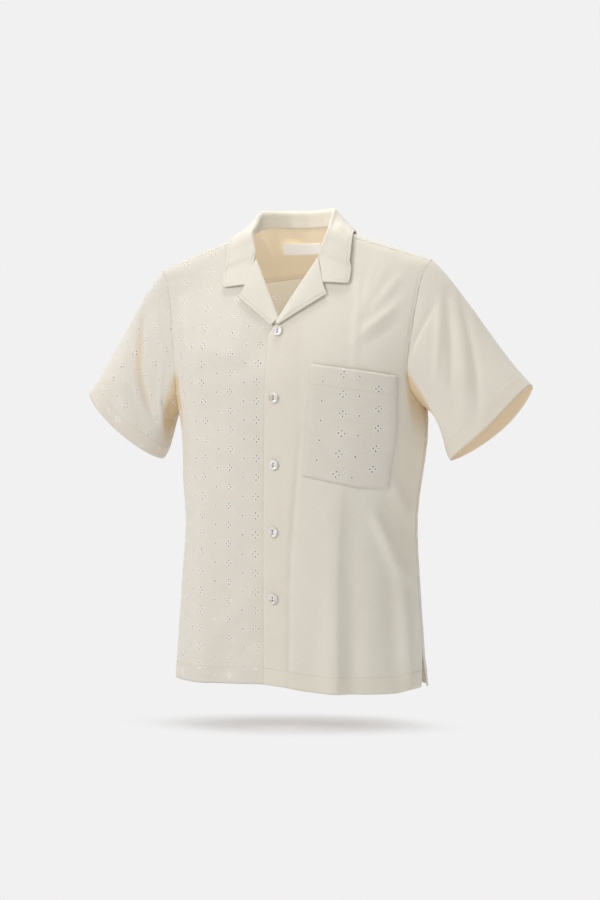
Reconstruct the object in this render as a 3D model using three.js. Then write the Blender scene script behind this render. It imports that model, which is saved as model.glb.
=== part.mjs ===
// A short-sleeved camp-collar shirt, filled out as it hangs when worn, with nobody in it.
// Millimetres, +Z up, -Y the front, +X the wearer's left.
// The origin lies between the high shoulder points, on the line through the two shoulder tips.
import * as THREE from 'three';

// ---------------------------------------------------------------- driving sizes
const CLOTH = 2.0;            // wall of a cloth panel
const HEM_EXTRA = 0.8;        // how much thicker a turned-up hem is
const HEM_HEIGHT = 25;        // depth of the turned-up hem of body and sleeves
const SEAM_GAP = 0.56;        // room between two pieces that are sewn together
const UNDERARM_Z = -272;
const HEM_Z = -703;
const VENT_HEIGHT = 52;       // slit at each side seam
const VENT_LAP = 13;          // how far the front is drawn back at the foot of the slit
const VENT_FLARE = 4;         // how far the back panel stands out there
const CHEST_FRONT = -93;      // centre front at underarm height
const CHEST_SIDE = 207;       // half width at underarm height
const SHOULDER_SPREAD = 33;   // by which the section widens from underarm to shoulder
const SHOULDER_TOP = 44.9;    // where the two shoulder lines would meet over the neck
const SHOULDER_SLOPE = 0.39;
const RIDGE_ROUND = 5;        // roundness of the cloth where it turns over the shoulder
const RIDGE_FADE = 30;
const BUTTON_RADIUS = 8;
const BUTTON_THICK = 2.4;
const BUTTON_COUNT = 5;
const BUTTON_X = 2;
const BUTTON_TOP_Z = -155;
const BUTTON_STEP = 103;
const OVERLAP = 14;           // each front runs this far past the centre
const UNDERLAP_SINK = 3.3;    // the right front lies this far behind the left one
const LAPEL_SINK = 7.8;       // and this far where the lapels turn over

// ---------------------------------------------------------------- colours
const CREAM = new THREE.MeshStandardMaterial({ color: 0xe6dcc8, roughness: 0.92, metalness: 0 });
const EYELET = new THREE.MeshStandardMaterial({ color: 0xe3dbcb, roughness: 0.95, metalness: 0 });
const PEARL = new THREE.MeshStandardMaterial({ color: 0xe8e6e4, roughness: 0.25, metalness: 0 });
const LABEL = new THREE.MeshStandardMaterial({ color: 0xdcdad8, roughness: 0.6, metalness: 0 });

// ---------------------------------------------------------------- tables
// Level sections of the body below the underarm: half width, front, side seam and back.
const BODY_SECTIONS = [
  { z: -272, side: 207, front: -93, seam: 5, back: 138 },
  { z: -369, side: 200, front: -94, seam: 12, back: 141 },
  { z: -456, side: 193.5, front: -96, seam: 15, back: 136 },
  { z: -560, side: 199, front: -96, seam: 15, back: 130 },
  { z: -640, side: 205, front: -95, seam: 14, back: 126 },
  { z: -703, side: 209, front: -95, seam: 13, back: 124 },
];
// Above the underarm a level runs from 1 at the underarm to 0 on the shoulder line.
const BACK_SECTIONS = [
  { level: 0.1, back: 74 },
  { level: 0.19, back: 86 },
  { level: 0.3, back: 98 },
  { level: 0.45, back: 112 },
  { level: 0.62, back: 125 },
  { level: 0.8, back: 134 },
  { level: 1, back: 138 },
];
// The armhole seam: its distance from the centre on the front and on the back.
const ARMHOLE = [
  { level: 0, front: 231, back: 231 },
  { level: 0.05, front: 224, back: 229 },
  { level: 0.155, front: 215, back: 226 },
  { level: 0.315, front: 208.5, back: 220 },
  { level: 0.52, front: 202.5, back: 213 },
  { level: 0.66, front: 198.5, back: 208.5 },
  { level: 0.77, front: 196, back: 205.5 },
  { level: 0.87, front: 197, back: 204 },
  { level: 0.94, front: 202, back: 205 },
  { level: 1, front: 207, back: 207 },
];
// The free edge of a front: straight, then the break of the lapel, then the neck seam.
const EDGE_BEND = { x: -OVERLAP, z: -160 };
const BREAK_FOOT = { x: -4, z: -148 };
const BREAK_HEAD = { x: 54, z: -39 };
const NECK_POINT = { x: 65.5, z: 3 };
// Levels of the rows of a front above the underarm, with one at each bend of its edge.
const FRONT_LEVELS = [0.965, 0.91, 0.82, 0.725, 0.64, 0.6067, 0.5, 0.4, 0.305, 0.212, 0.125];
const BACK_LEVELS = [0.965, 0.91, 0.82, 0.7, 0.58, 0.47, 0.38];
const LAPEL_TIP = { x: 74, z: -99 };
const LAPEL_NOTCH = { x: 64, z: -80 };
const LAPEL_LEVELS = [0.6067, 0.55, 0.5, 0.45, 0.4, 0.352, 0.305, 0.255];
const LAPEL_TIP_ROW = 6;
const GORGE_ROOM = 1.6;       // between the end of the lapel and the collar
const LEAF_LIFT = 3.3;        // from the middle of the body's cloth to the middle of the collar's
const SHOULDER_LIFT = 4.9;    // the same where the collar turns over the shoulder
// Neck seam of the yoke, from the centre back to the shoulder.
const NECK = [
  { x: 0, y: 62, z: 19 },
  { x: 30, y: 55, z: 19 },
  { x: 53, y: 35, z: 18.5 },
  { x: 64, y: 8, z: 14 },
  { x: 65.5, y: -19, z: 3 },
];
// The collar from the centre back to near the lapel: neck seam, fold and outer edge, which rests on the body.
const COLLAR = [
  { seam: 0, fx: 0, fy: 59, fz: 46, ex: 0, ey: 86, ez: -12 },
  { seam: 1, fx: 29, fy: 53, fz: 46, ex: 37, ey: 80, ez: -10 },
  { seam: 2, fx: 51, fy: 34, fz: 45, ex: 71, ey: 58, ez: -4 },
  { seam: 3, fx: 63, fy: 8, fz: 40, ex: 96, ey: 20, ez: 3 },
  { seam: 3.5, fx: 64.5, fy: -5, fz: 27, ex: 101, ey: -3, ez: 2 },
  { seam: 4, fx: 63.5, fy: -18, fz: 8, ex: 104, ey: -22, ez: -19 },
  { seam: 4.8, fx: 57, fy: -33, fz: -27, ex: 105, ey: -34, ez: -47 },
];
// In front of the neck the collar lies on the lapel and front: gorge line to outer edge.
const COLLAR_LEAF = [
  { gx: 54.5, gz: -40, ex: 105.5, ez: -58 },
  { gx: 59.5, gz: -62, ex: 105.5, ez: -72 },
  { gx: 63.8, gz: -80, ex: 104.5, ez: -83 },
];
const POCKET = {
  topInner: { x: 60, z: -207 }, topOuter: { x: 183, z: -225 },
  footInner: { x: 46, z: -377 }, footOuter: { x: 168, z: -396 }, footBend: { share: 0.69, drop: 5.8 },
};
const LABEL_SIZE = { width: 56, height: 16, top: -7, shift: -12 };
// The cuffs: ovals about a centre, long across the sleeve and short from front to back.
const CUFFS = {
  left: { x: 308.5, y: 27, z: -297, tallHalf: 86, deepHalf: 47, lean: 41.5, bow: 7 },
  right: { x: 316, y: 27, z: -296, tallHalf: 83.5, deepHalf: 47, lean: 41.3, bow: 7 },
};
// The sides hang a little to the left at underarm height, and the hem of the front dips and rises.
const SWAY = { most: 8, z: -310, reach: 70 };
const HEM_DIP = [
  { x: -130, dip: 0 }, { x: -70, dip: -2.5 }, { x: -20, dip: -4.5 }, { x: 20, dip: -1.5 },
  { x: 53, dip: 3.5 }, { x: 110, dip: 7 }, { x: 180, dip: 7 }, { x: 208, dip: 1 },
];
// Folds of a front or back, as soft ridges (height above 0) and troughs (below 0) between two places.
const FRONT_LEFT_FOLDS = [
  { x0: 96, z0: -395, x1: 98, z1: -1010, width: 17, height: 4.5 },
  { x0: 122, z0: -385, x1: 122, z1: -1010, width: 17, height: -5 },
  { x0: 150, z0: -400, x1: 156, z1: -900, width: 24, height: -2.5 },
  { x0: 140, z0: -410, x1: 200, z1: -580, width: 12, height: 4.5 },
  { x0: 186, z0: -500, x1: 203, z1: -760, width: 12, height: 4 },
  { x0: 160, z0: -40, x1: 90, z1: -205, width: 12, height: 5 },
  { x0: 196, z0: -95, x1: 104, z1: -180, width: 11, height: 5 },
  { x0: 136, z0: -90, x1: 106, z1: -165, width: 12, height: -3 },
];
const FRONT_RIGHT_FOLDS = [
  { x0: 60, z0: -480, x1: 115, z1: -900, width: 26, height: -4 },
  { x0: 120, z0: -380, x1: 150, z1: -960, width: 26, height: 4.5 },
  { x0: 175, z0: -300, x1: 165, z1: -640, width: 18, height: -4 },
  { x0: 190, z0: -90, x1: 130, z1: -270, width: 16, height: 4 },
];
const BACK_FOLDS = [
  { x0: -155, z0: -120, x1: -118, z1: -960, width: 24, height: 5.5 },
  { x0: -96, z0: -220, x1: -84, z1: -980, width: 26, height: -5.5 },
  { x0: -28, z0: -190, x1: -40, z1: -990, width: 26, height: 5 },
  { x0: 24, z0: -260, x1: 33, z1: -960, width: 24, height: -4.5 },
  { x0: 80, z0: -200, x1: 92, z1: -980, width: 24, height: 5.5 },
  { x0: 152, z0: -130, x1: 128, z1: -950, width: 24, height: -4.5 },
];
// Folds of a sleeve: angle round it in degrees from the top, towards the front if negative.
const SLEEVE_FOLDS = [
  { a0: -48, w0: 0, a1: -70, w1: 1.5, width: 14, height: -6 },
  { a0: -26, w0: 0.1, a1: -40, w1: 1.7, width: 12, height: 4 },
  { a0: -94, w0: 0.1, a1: -98, w1: 1.7, width: 16, height: 5 },
  { a0: -130, w0: -0.1, a1: -122, w1: 1.2, width: 12, height: -4 },
  { a0: 48, w0: 0, a1: 64, w1: 1.6, width: 15, height: -5 },
  { a0: 90, w0: 0.1, a1: 98, w1: 1.7, width: 16, height: 5 },
  { a0: 132, w0: -0.1, a1: 127, w1: 1.3, width: 13, height: -4 },
];

// ---------------------------------------------------------------- numbers of rows and columns
const FRONT_COLUMNS = 12;
const LOWER_ROWS = 12;
const VENT_ROW = 3;          // the row at the top of the slit
const YOKE_ROWS = 7;
const NECK_COLUMNS = 4;
const YOKE_COLUMNS = NECK_COLUMNS + FRONT_COLUMNS;

// ---------------------------------------------------------------- small helpers
const vec = (x, y, z) => new THREE.Vector3(x, y, z);
const mix = (a, b, t) => a + (b - a) * t;
const clamp01 = (t) => Math.min(1, Math.max(0, t));
const smooth = (t) => clamp01(t) ** 2 * (3 - 2 * clamp01(t));
const radians = (degrees) => (degrees * Math.PI) / 180;

// A value read from a table by a monotone cubic through its rows.
function read(table, key, at, column) {
  const last = table.length - 1;
  const rising = table[last][key] > table[0][key];
  let i = 0;
  while (i < last - 1 && (rising ? at > table[i + 1][key] : at < table[i + 1][key])) i += 1;
  const slope = (k) => (table[k + 1][column] - table[k][column]) / (table[k + 1][key] - table[k][key]);
  const bend = (k) => {
    if (k === 0) return slope(0);
    if (k === last) return slope(last - 1);
    const [before, after] = [slope(k - 1), slope(k)];
    return before * after <= 0 ? 0 : (2 * before * after) / (before + after);
  };
  const span = table[i + 1][key] - table[i][key];
  const t = clamp01((at - table[i][key]) / span);
  const [a, b] = [table[i][column], table[i + 1][column]];
  const [da, db] = [bend(i) * span, bend(i + 1) * span];
  return a + da * t + (3 * (b - a) - 2 * da - db) * t * t + (2 * (a - b) + da + db) * t * t * t;
}

// A value read from evenly spaced rows, by a smooth curve through them.
function along(table, column, share) {
  const last = table.length - 1;
  const at = Math.min(share * last, last - 1e-9);
  const i = Math.floor(at);
  const t = at - i;
  const value = (k) => table[Math.max(0, Math.min(last, k))][column];
  const [p0, p1, p2, p3] = [value(i - 1), value(i), value(i + 1), value(i + 2)];
  return 0.5 * (2 * p1 + (p2 - p0) * t + (2 * p0 - 5 * p1 + 4 * p2 - p3) * t * t
    + (3 * p1 - p0 - 3 * p2 + p3) * t * t * t);
}

// How far a list of folds lifts the cloth at one place of a flat drawing (a, b).
function foldLift(folds, a, b, names) {
  let lift = 0;
  for (const fold of folds) {
    const [a0, b0, a1, b1] = names.map((name) => fold[name]);
    const [da, db] = [a1 - a0, b1 - b0];
    const share = clamp01(((a - a0) * da + (b - b0) * db) / (da * da + db * db));
    const away = Math.hypot(a - a0 - share * da, b - b0 - share * db);
    const strength = Math.sin(Math.PI * share) ** 0.8;
    lift += fold.height * strength * Math.exp(-((away / fold.width) ** 2));
  }
  return lift;
}

// Where a place ends up when the finished garment hangs.
function hang(p) {
  const sway = SWAY.most * Math.exp(-(((p.z - SWAY.z) / SWAY.reach) ** 2)) * smooth(Math.abs(p.x) / 150);
  const low = smooth((-500 - p.z) / 200) * smooth(-p.y / 50);
  return vec(p.x + sway, p.y, p.z - read(HEM_DIP, 'x', p.x, 'dip') * low);
}

// ---------------------------------------------------------------- the body's surface
const shoulderZ = (x) => SHOULDER_TOP - SHOULDER_SLOPE * Math.abs(x);
const levelAt = (x, z) => (shoulderZ(x) - z) / (shoulderZ(x) - UNDERARM_Z);

// Section of the body at a level: 1 to 0 above the underarm, and over 1 below it, where the hem is 2.
function section(level, back) {
  if (level > 1) {
    const z = mix(UNDERARM_Z, HEM_Z, level - 1);
    const get = (column) => read(BODY_SECTIONS, 'z', z, column);
    return { side: get('side'), seam: get('seam'), middle: get(back ? 'back' : 'front'), z };
  }
  const side = CHEST_SIDE + SHOULDER_SPREAD * (1 - level);
  const middle = back ? read(BACK_SECTIONS, 'level', level, 'back')
    : CHEST_FRONT * Math.sin((Math.PI / 2) * level);
  return { side, seam: 5 * level, middle, z: null };
}

// A point of the body at an angle from the centre line and a level.
function bodyPoint(angle, level, back) {
  const s = section(level, back);
  const x = s.side * Math.sin(angle);
  let y = s.seam + (s.middle - s.seam) * Math.cos(angle);
  let z = s.z;
  if (z === null) {
    const drop = level * (shoulderZ(x) - UNDERARM_Z);
    const round = RIDGE_ROUND * Math.sqrt(Math.max(drop, 0)) * Math.exp(-drop / RIDGE_FADE);
    y += back ? round : -round;
    z = shoulderZ(x) - drop;
  }
  return vec(x, y, z);
}

const edgeAngle = (level, back) => (level >= 1 ? Math.PI / 2
  : Math.asin(Math.min(1, read(ARMHOLE, 'level', level, back ? 'back' : 'front')
    / section(level, back).side)));
const angleAtX = (x, level) => Math.asin(Math.max(-1, Math.min(1, x / section(level, false).side)));

// Where the free edge of a front lies at a level: x found from its height by repeated steps.
function frontEdge(level) {
  const bends = [EDGE_BEND, BREAK_FOOT, BREAK_HEAD, NECK_POINT];
  let x = level < 1 ? 30 : -OVERLAP;
  for (let k = 0; k < 40 && level < 1; k += 1) {
    const z = shoulderZ(x) - level * (shoulderZ(x) - UNDERARM_Z);
    const i = bends.findIndex((bend, m) => m > 0 && (z < bend.z || m === 3));
    const [a, b] = [bends[i - 1], bends[i]];
    x = mix(x, mix(a.x, b.x, clamp01((z - a.z) / (b.z - a.z))), 0.7);
  }
  return x;
}

// A place on the front, given by x and z.
function frontPlace(x, z) {
  const level = z > UNDERARM_Z ? levelAt(x, z) : 1 + (UNDERARM_Z - z) / (UNDERARM_Z - HEM_Z);
  return { level, angle: angleAtX(x, level) };
}

// Outward normal of a surface function of two numbers.
function normalOf(surface, a, b, flip) {
  const [da, db] = [1e-3, 1e-3];
  const across = surface(a + da, b).sub(surface(a - da, b));
  const up = surface(a, b + db).sub(surface(a, b - db));
  const n = across.cross(up).normalize();
  return flip ? n.negate() : n;
}

// A place on the left front lifted off the cloth's middle by a distance.
function onFront(x, z, lift, folds = FRONT_LEFT_FOLDS) {
  const { level, angle } = frontPlace(x, z);
  const n = normalOf((a, l) => bodyPoint(a, l, false), angle, level, true);
  const fold = foldLift(folds, x, z, ['x0', 'z0', 'x1', 'z1']) * frontFade(angle, level);
  return bodyPoint(angle, level, false).addScaledVector(n, lift + fold);
}

// Folds die out at the side seam, armhole and yoke, where panels are sewn together.
function frontFade(angle, level) {
  const toSide = (edgeAngle(level, false) - angle) / 0.25;
  const toTop = (level - 0.06) / 0.14;
  return smooth(toSide) * smooth(toTop);
}

// ---------------------------------------------------------------- walls of cloth
// A closed wall round a grid of middle points. rows[j][i] holds { p, n, out, in }.
function wall(rows, round = false) {
  const [height, width] = [rows.length, rows[0].length];
  const positions = [];
  for (const sign of [1, -1]) {
    for (const row of rows) {
      for (const cell of row) {
        const reach = sign > 0 ? cell.out : -cell.in;
        positions.push(...hang(cell.p.clone().addScaledVector(cell.n, reach)).toArray());
      }
    }
  }
  const id = (layer, j, i) => layer * height * width + j * width + (i % width);
  const faces = [];
  const quad = (a, b, c, d) => faces.push(a, b, c, a, c, d);
  const spans = round ? width : width - 1;
  for (let j = 0; j < height - 1; j += 1) {
    for (let i = 0; i < spans; i += 1) {
      quad(id(0, j, i), id(0, j, i + 1), id(0, j + 1, i + 1), id(0, j + 1, i));
      quad(id(1, j, i), id(1, j + 1, i), id(1, j + 1, i + 1), id(1, j, i + 1));
    }
  }
  for (let i = 0; i < spans; i += 1) {
    quad(id(0, 0, i + 1), id(0, 0, i), id(1, 0, i), id(1, 0, i + 1));
    quad(id(0, height - 1, i), id(0, height - 1, i + 1), id(1, height - 1, i + 1), id(1, height - 1, i));
  }
  for (let j = 0; j < height - 1 && !round; j += 1) {
    quad(id(0, j, 0), id(0, j + 1, 0), id(1, j + 1, 0), id(1, j, 0));
    quad(id(0, j + 1, width - 1), id(0, j, width - 1), id(1, j, width - 1), id(1, j + 1, width - 1));
  }
  const geometry = new THREE.BufferGeometry();
  geometry.setAttribute('position', new THREE.Float32BufferAttribute(positions, 3));
  geometry.setIndex(faces);
  geometry.computeVertexNormals();
  return signedVolume(geometry) < 0 ? turned(geometry) : geometry;
}

function signedVolume(geometry) {
  const [p, index] = [geometry.attributes.position, geometry.index];
  let volume = 0;
  for (let k = 0; k < index.count; k += 3) {
    const [a, b, c] = [0, 1, 2].map((m) => new THREE.Vector3().fromBufferAttribute(p, index.getX(k + m)));
    volume += a.dot(b.cross(c)) / 6;
  }
  return volume;
}

function turned(geometry) {
  const index = geometry.index;
  for (let k = 0; k < index.count; k += 3) {
    const first = index.getX(k);
    index.setX(k, index.getX(k + 1));
    index.setX(k + 1, first);
  }
  geometry.computeVertexNormals();
  return geometry;
}

// Draws edges of a grid in by half a seam's room, along the cloth. The sides are drawn in up to the armhole.
function trim(rows, sides) {
  const width = rows[0].length;
  const height = rows.length;
  const pull = (edge, inner) => {
    const way = inner.p.clone().sub(edge.p).normalize();
    edge.shift = (edge.shift || vec(0, 0, 0)).addScaledVector(way, SEAM_GAP / 2);
  };
  for (let j = 0; j <= LOWER_ROWS; j += 1) {
    if (sides.includes('start')) pull(rows[j][0], rows[j][1]);
    if (sides.includes('end')) pull(rows[j][width - 1], rows[j][width - 2]);
  }
  for (let i = 0; i < width; i += 1) {
    if (sides.includes('foot')) pull(rows[0][i], rows[1][i]);
    if (sides.includes('top')) pull(rows[height - 1][i], rows[height - 2][i]);
  }
}

const mirrored = (rows) => rows.map((row) => row.map((cell) => ({
  ...cell, p: vec(-cell.p.x, cell.p.y, cell.p.z), n: vec(-cell.n.x, cell.n.y, cell.n.z),
})));

const half = CLOTH / 2;
const cellAt = (p, n, thick = half) => ({ p, n, out: thick, in: thick });
const hemThickness = (z) => (z < HEM_Z + HEM_HEIGHT ? half + HEM_EXTRA / 2 : half);

// ---------------------------------------------------------------- levels shared by the panels
// Rows go up from the hem: the hem band, the vent, the lower body, then to the yoke seam.
const lowerLevels = (() => {
  const at = (z) => 1 + (UNDERARM_Z - z) / (UNDERARM_Z - HEM_Z);
  const levels = [2, at(HEM_Z + HEM_HEIGHT - 0.5), at(HEM_Z + HEM_HEIGHT + 0.5), at(HEM_Z + VENT_HEIGHT)];
  const rest = LOWER_ROWS - 3;
  for (let k = 1; k <= rest; k += 1) levels.push(mix(levels[3], 1, k / rest));
  return levels;
})();

const frontTop = (share) => mix(0.055, 0.022, share);      // level of the front yoke seam
const backTop = (share) => levelAt(226 * share, -56 - 26 * share ** 2); // level of the back yoke seam

// ---------------------------------------------------------------- fronts
function frontRows(folds, sunk) {
  const rows = [];
  for (let j = 0; j <= LOWER_ROWS + 1 + FRONT_LEVELS.length; j += 1) {
    const row = [];
    for (let i = 0; i <= FRONT_COLUMNS; i += 1) {
      const share = i / FRONT_COLUMNS;
      const level = [...lowerLevels, ...FRONT_LEVELS, frontTop(share)][j];
      const start = angleAtX(frontEdge(level), level);
      const end = edgeAngle(level, false) - ventPull(level);
      const angle = mix(start, end, share);
      const base = bodyPoint(angle, level, false);
      const n = normalOf((a, l) => bodyPoint(a, l, false), angle, level, true);
      const fold = foldLift(folds, base.x, base.z, ['x0', 'z0', 'x1', 'z1']) * frontFade(angle, level);
      const sink = sunk ? sinkAt(base.x, base.z) : 0;
      row.push(cellAt(base.addScaledVector(n, fold - sink), n, hemThickness(base.z)));
    }
    rows.push(row);
  }
  return rows;
}

// The slit at the foot of the side seam, as an angle by which the front is drawn back.
function ventPull(level) {
  const z = mix(UNDERARM_Z, HEM_Z, level - 1);
  const share = clamp01((HEM_Z + VENT_HEIGHT - z) / VENT_HEIGHT);
  return level > 1 ? (VENT_LAP / 110) * share : 0;
}

// The right front goes behind the left one round the centre. x grows away from the centre on its own side.
function sinkAt(x, z) {
  const near = smooth((72 - x) / 52);
  return near * mix(UNDERLAP_SINK, LAPEL_SINK, smooth((z + 225) / 60)) * smooth((-45 - z) / 85);
}

// ---------------------------------------------------------------- back
function backRows() {
  const rows = [];
  for (let j = 0; j <= LOWER_ROWS + 1 + BACK_LEVELS.length; j += 1) {
    const row = [];
    for (let i = -YOKE_COLUMNS; i <= YOKE_COLUMNS; i += 1) {
      const share = i / YOKE_COLUMNS;
      const level = [...lowerLevels, ...BACK_LEVELS, backTop(share)][j];
      const angle = edgeAngle(level, true) * share;
      const base = bodyPoint(angle, level, true);
      const n = normalOf((a, l) => bodyPoint(a, l, true), angle, level, false);
      const toSide = smooth((edgeAngle(level, true) - Math.abs(angle)) / 0.3);
      const toYoke = level < 1 ? smooth((level - backTop(share)) / 0.15) : 1;
      const fold = foldLift(BACK_FOLDS, base.x, base.z, ['x0', 'z0', 'x1', 'z1']) * toSide * toYoke;
      const flare = VENT_FLARE * Math.abs(share) ** 6 * (ventPull(level) * 110) / VENT_LAP;
      row.push(cellAt(base.addScaledVector(n, fold + flare), n, hemThickness(base.z)));
    }
    rows.push(row);
  }
  return rows;
}

// ---------------------------------------------------------------- yoke
// Over the shoulder the yoke is a curve from the front seam, or the neck, to the back seam.
// Columns go from the centre back along the neck and on to the armhole.
function yokeEnds(column) {
  const backShare = column / YOKE_COLUMNS;
  const backLevel = backTop(backShare);
  const backAngle = edgeAngle(backLevel, true) * backShare;
  const foot = bodyPoint(backAngle, backLevel, true);
  const footWay = bodyPoint(backAngle, backLevel + 0.01, true).sub(foot).normalize();
  if (column <= NECK_COLUMNS) {
    const share = column / NECK_COLUMNS;
    const top = vec(along(NECK, 'x', share), along(NECK, 'y', share), along(NECK, 'z', share));
    const topWay = vec(mix(0, 0.3, share), mix(0.42, 0.9, share), mix(-0.9, 0.1, share)).normalize();
    const seam = frontSeamEnds(0);
    if (column < NECK_COLUMNS) return { top, topWay, foot, footWay };
    return { top: seam.top, topWay: seam.topWay, foot, footWay };
  }
  const { top, topWay } = frontSeamEnds((column - NECK_COLUMNS) / FRONT_COLUMNS);
  return { top, topWay, foot, footWay };
}

function frontSeamEnds(share) {
  const level = frontTop(share);
  const angle = mix(angleAtX(frontEdge(level), level), edgeAngle(level, false), share);
  const top = bodyPoint(angle, level, false);
  const topWay = top.clone().sub(bodyPoint(angle, level + 0.004, false)).normalize();
  return { top, topWay };
}

// A point of the yoke: column (may be between two) and 0 at its top edge to 1 at the back seam.
function yokePoint(column, t) {
  const ends = yokeEnds(column);
  const span = ends.top.distanceTo(ends.foot);
  const leave = column >= NECK_COLUMNS ? span * 0.62 : span * 0.9;
  const arrive = span * 1.0;
  const [t2, t3] = [t * t, t * t * t];
  return vec(0, 0, 0)
    .addScaledVector(ends.top, 2 * t3 - 3 * t2 + 1)
    .addScaledVector(ends.topWay, (t3 - 2 * t2 + t) * leave)
    .addScaledVector(ends.foot, -2 * t3 + 3 * t2)
    .addScaledVector(ends.footWay, (t3 - t2) * arrive);
}

function yokeHalf() {
  const columns = [];
  for (let c = 0; c <= YOKE_COLUMNS; c += 1) {
    columns.push(Array.from({ length: YOKE_ROWS + 1 }, (_, r) => yokePoint(c, r / YOKE_ROWS)));
  }
  return columns;
}

function yokeRows() {
  const right = yokeHalf();
  const columns = [...right.slice(1).reverse().map((col) => col.map((p) => vec(-p.x, p.y, p.z))), ...right];
  const height = YOKE_ROWS + 1;
  const rows = [];
  for (let r = height - 1; r >= 0; r -= 1) {
    rows.push(columns.map((col, c) => {
      const before = columns[Math.max(0, c - 1)][r];
      const after = columns[Math.min(columns.length - 1, c + 1)][r];
      const below = col[Math.min(height - 1, r + 1)];
      const above = col[Math.max(0, r - 1)];
      const n = after.clone().sub(before).cross(below.clone().sub(above)).normalize();
      return cellAt(col[r].clone(), n);
    }));
  }
  return rows;
}

// ---------------------------------------------------------------- armhole and sleeve
// The armhole ring of the left side: up the front, over the yoke and down the back.
function armholeRing(front, yoke, back) {
  const end = (rows) => rows.map((row) => row[row.length - 1]);
  const up = end(front).slice(LOWER_ROWS);
  const over = end(yoke).slice(1, -1).reverse();
  const down = end(back).slice(LOWER_ROWS).reverse();
  return [...up, ...over, ...down.slice(0, -1)];
}

function sleevePoint(start, finish, w) {
  const span = start.distanceTo(finish.p);
  const topness = ((1 + Math.cos(finish.angle)) / 2) ** 2;
  const lowness = ((1 - Math.cos(finish.angle)) / 2) ** 6;
  const straight = finish.p.clone().sub(start).normalize();
  const leave = straight.clone().multiplyScalar(span * (1 - 0.45 * topness))
    .addScaledVector(vec(0.9, 0.03, -0.4), span * 0.24 * topness)
    .addScaledVector(vec(1, 0, 0.3), span * 0.72 * lowness)
    .addScaledVector(vec(0, Math.sign(finish.angle), 0), 22 * Math.abs(Math.sin(finish.angle)));
  const [w2, w3] = [w * w, w * w * w];
  return vec(0, 0, 0)
    .addScaledVector(start, 2 * w3 - 3 * w2 + 1)
    .addScaledVector(leave, w3 - 2 * w2 + w)
    .addScaledVector(finish.p, -2 * w3 + 3 * w2)
    .addScaledVector(finish.way, (w3 - w2) * span * 0.9);
}

function sleeveRows(seats, cuff) {
  const count = seats.length;
  const lean = radians(cuff.lean);
  const long = vec(Math.cos(lean), 0, Math.sin(lean));
  const way = vec(Math.sin(lean), 0.08, -Math.cos(lean)).normalize();
  const lengths = [0];
  for (let k = 1; k <= count; k += 1) {
    lengths.push(lengths[k - 1] + seats[k % count].distanceTo(seats[k - 1]));
  }
  const tip = seats.reduce((best, seat, k) => (seat.z > seats[best].z ? k : best), 0);
  const angleOf = (k) => (k <= tip ? -Math.PI * (1 - lengths[k] / lengths[tip])
    : (Math.PI * (lengths[k] - lengths[tip])) / (lengths[count] - lengths[tip]));
  const cuffPoint = (k) => {
    const angle = angleOf(k);
    const p = vec(cuff.x, cuff.y, cuff.z)
      .addScaledVector(long, cuff.tallHalf * Math.cos(angle))
      .addScaledVector(vec(0, 1, 0), cuff.deepHalf * Math.sin(angle))
      .addScaledVector(way, cuff.bow * Math.sin(angle) ** 2);
    return { p, angle, way };
  };
  const hemShare = 0.9;
  const shares = [0, 0.05, 0.14, 0.26, 0.4, 0.55, 0.7, 0.82, hemShare - 0.004, hemShare, 1];
  const points = shares.map((w) => seats.map((seat, k) => sleevePoint(seat, cuffPoint(k), w)));
  return shares.map((w, j) => seats.map((seat, k) => {
    const [before, after] = [points[j][(k + count - 1) % count], points[j][(k + 1) % count]];
    const [down, up] = [points[Math.max(0, j - 1)][k], points[Math.min(shares.length - 1, j + 1)][k]];
    const n = up.clone().sub(down).cross(after.clone().sub(before)).normalize();
    const degrees = (angleOf(k) * 180) / Math.PI;
    const shape = SLEEVE_FOLDS.map((f) => ({ ...f, b0: f.w0 * 250, b1: f.w1 * 250 }));
    const fold = foldLift(shape, degrees, w * 250, ['a0', 'b0', 'a1', 'b1']) * smooth(w / 0.22);
    const thick = w >= hemShare ? half + HEM_EXTRA / 2 : half;
    return cellAt(points[j][k].clone().addScaledVector(n, fold), n, thick);
  }));
}

// Cells of two or three pieces that meet at one place lean the same way there, on the plane between them.
function meet(cells) {
  const shared = vec(0, 0, 0);
  for (const cell of cells) shared.add(cell.n);
  shared.normalize();
  const stretch = 1 / Math.max(0.28, shared.dot(cells[0].n), shared.dot(cells[1].n));
  for (const cell of cells) {
    cell.n = shared.clone();
    cell.out = half * stretch;
    cell.in = half * stretch;
  }
}

// Parts the groups of cells round an armhole, the sleeve's cell being the second of each group.
function partArmhole(groups, sleeve) {
  const count = groups.length;
  const ways = groups.map(([cell], k) => {
    const seam = groups[(k + 1) % count][0].p.clone().sub(groups[(k + count - 1) % count][0].p);
    const way = cell.n.clone().cross(seam).normalize();
    return way.dot(sleeve[1][k].p.clone().sub(cell.p)) < 0 ? way.negate() : way;
  });
  groups.forEach((cells, k) => cells.forEach((cell, m) => {
    cell.shift = (cell.shift || vec(0, 0, 0)).addScaledVector(ways[k], (m === 1 ? 0.5 : -0.5) * SEAM_GAP);
  }));
}

function settle(rows) {
  for (const row of rows) for (const cell of row) if (cell.shift) cell.p.add(cell.shift);
}

// ---------------------------------------------------------------- facings, turned out as lapels
const breakShare = (level) => (frontEdge(level) - BREAK_FOOT.x) / (BREAK_HEAD.x - BREAK_FOOT.x);
const LAPEL_SHARES = [...LAPEL_LEVELS.map(breakShare), 0.99];

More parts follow.
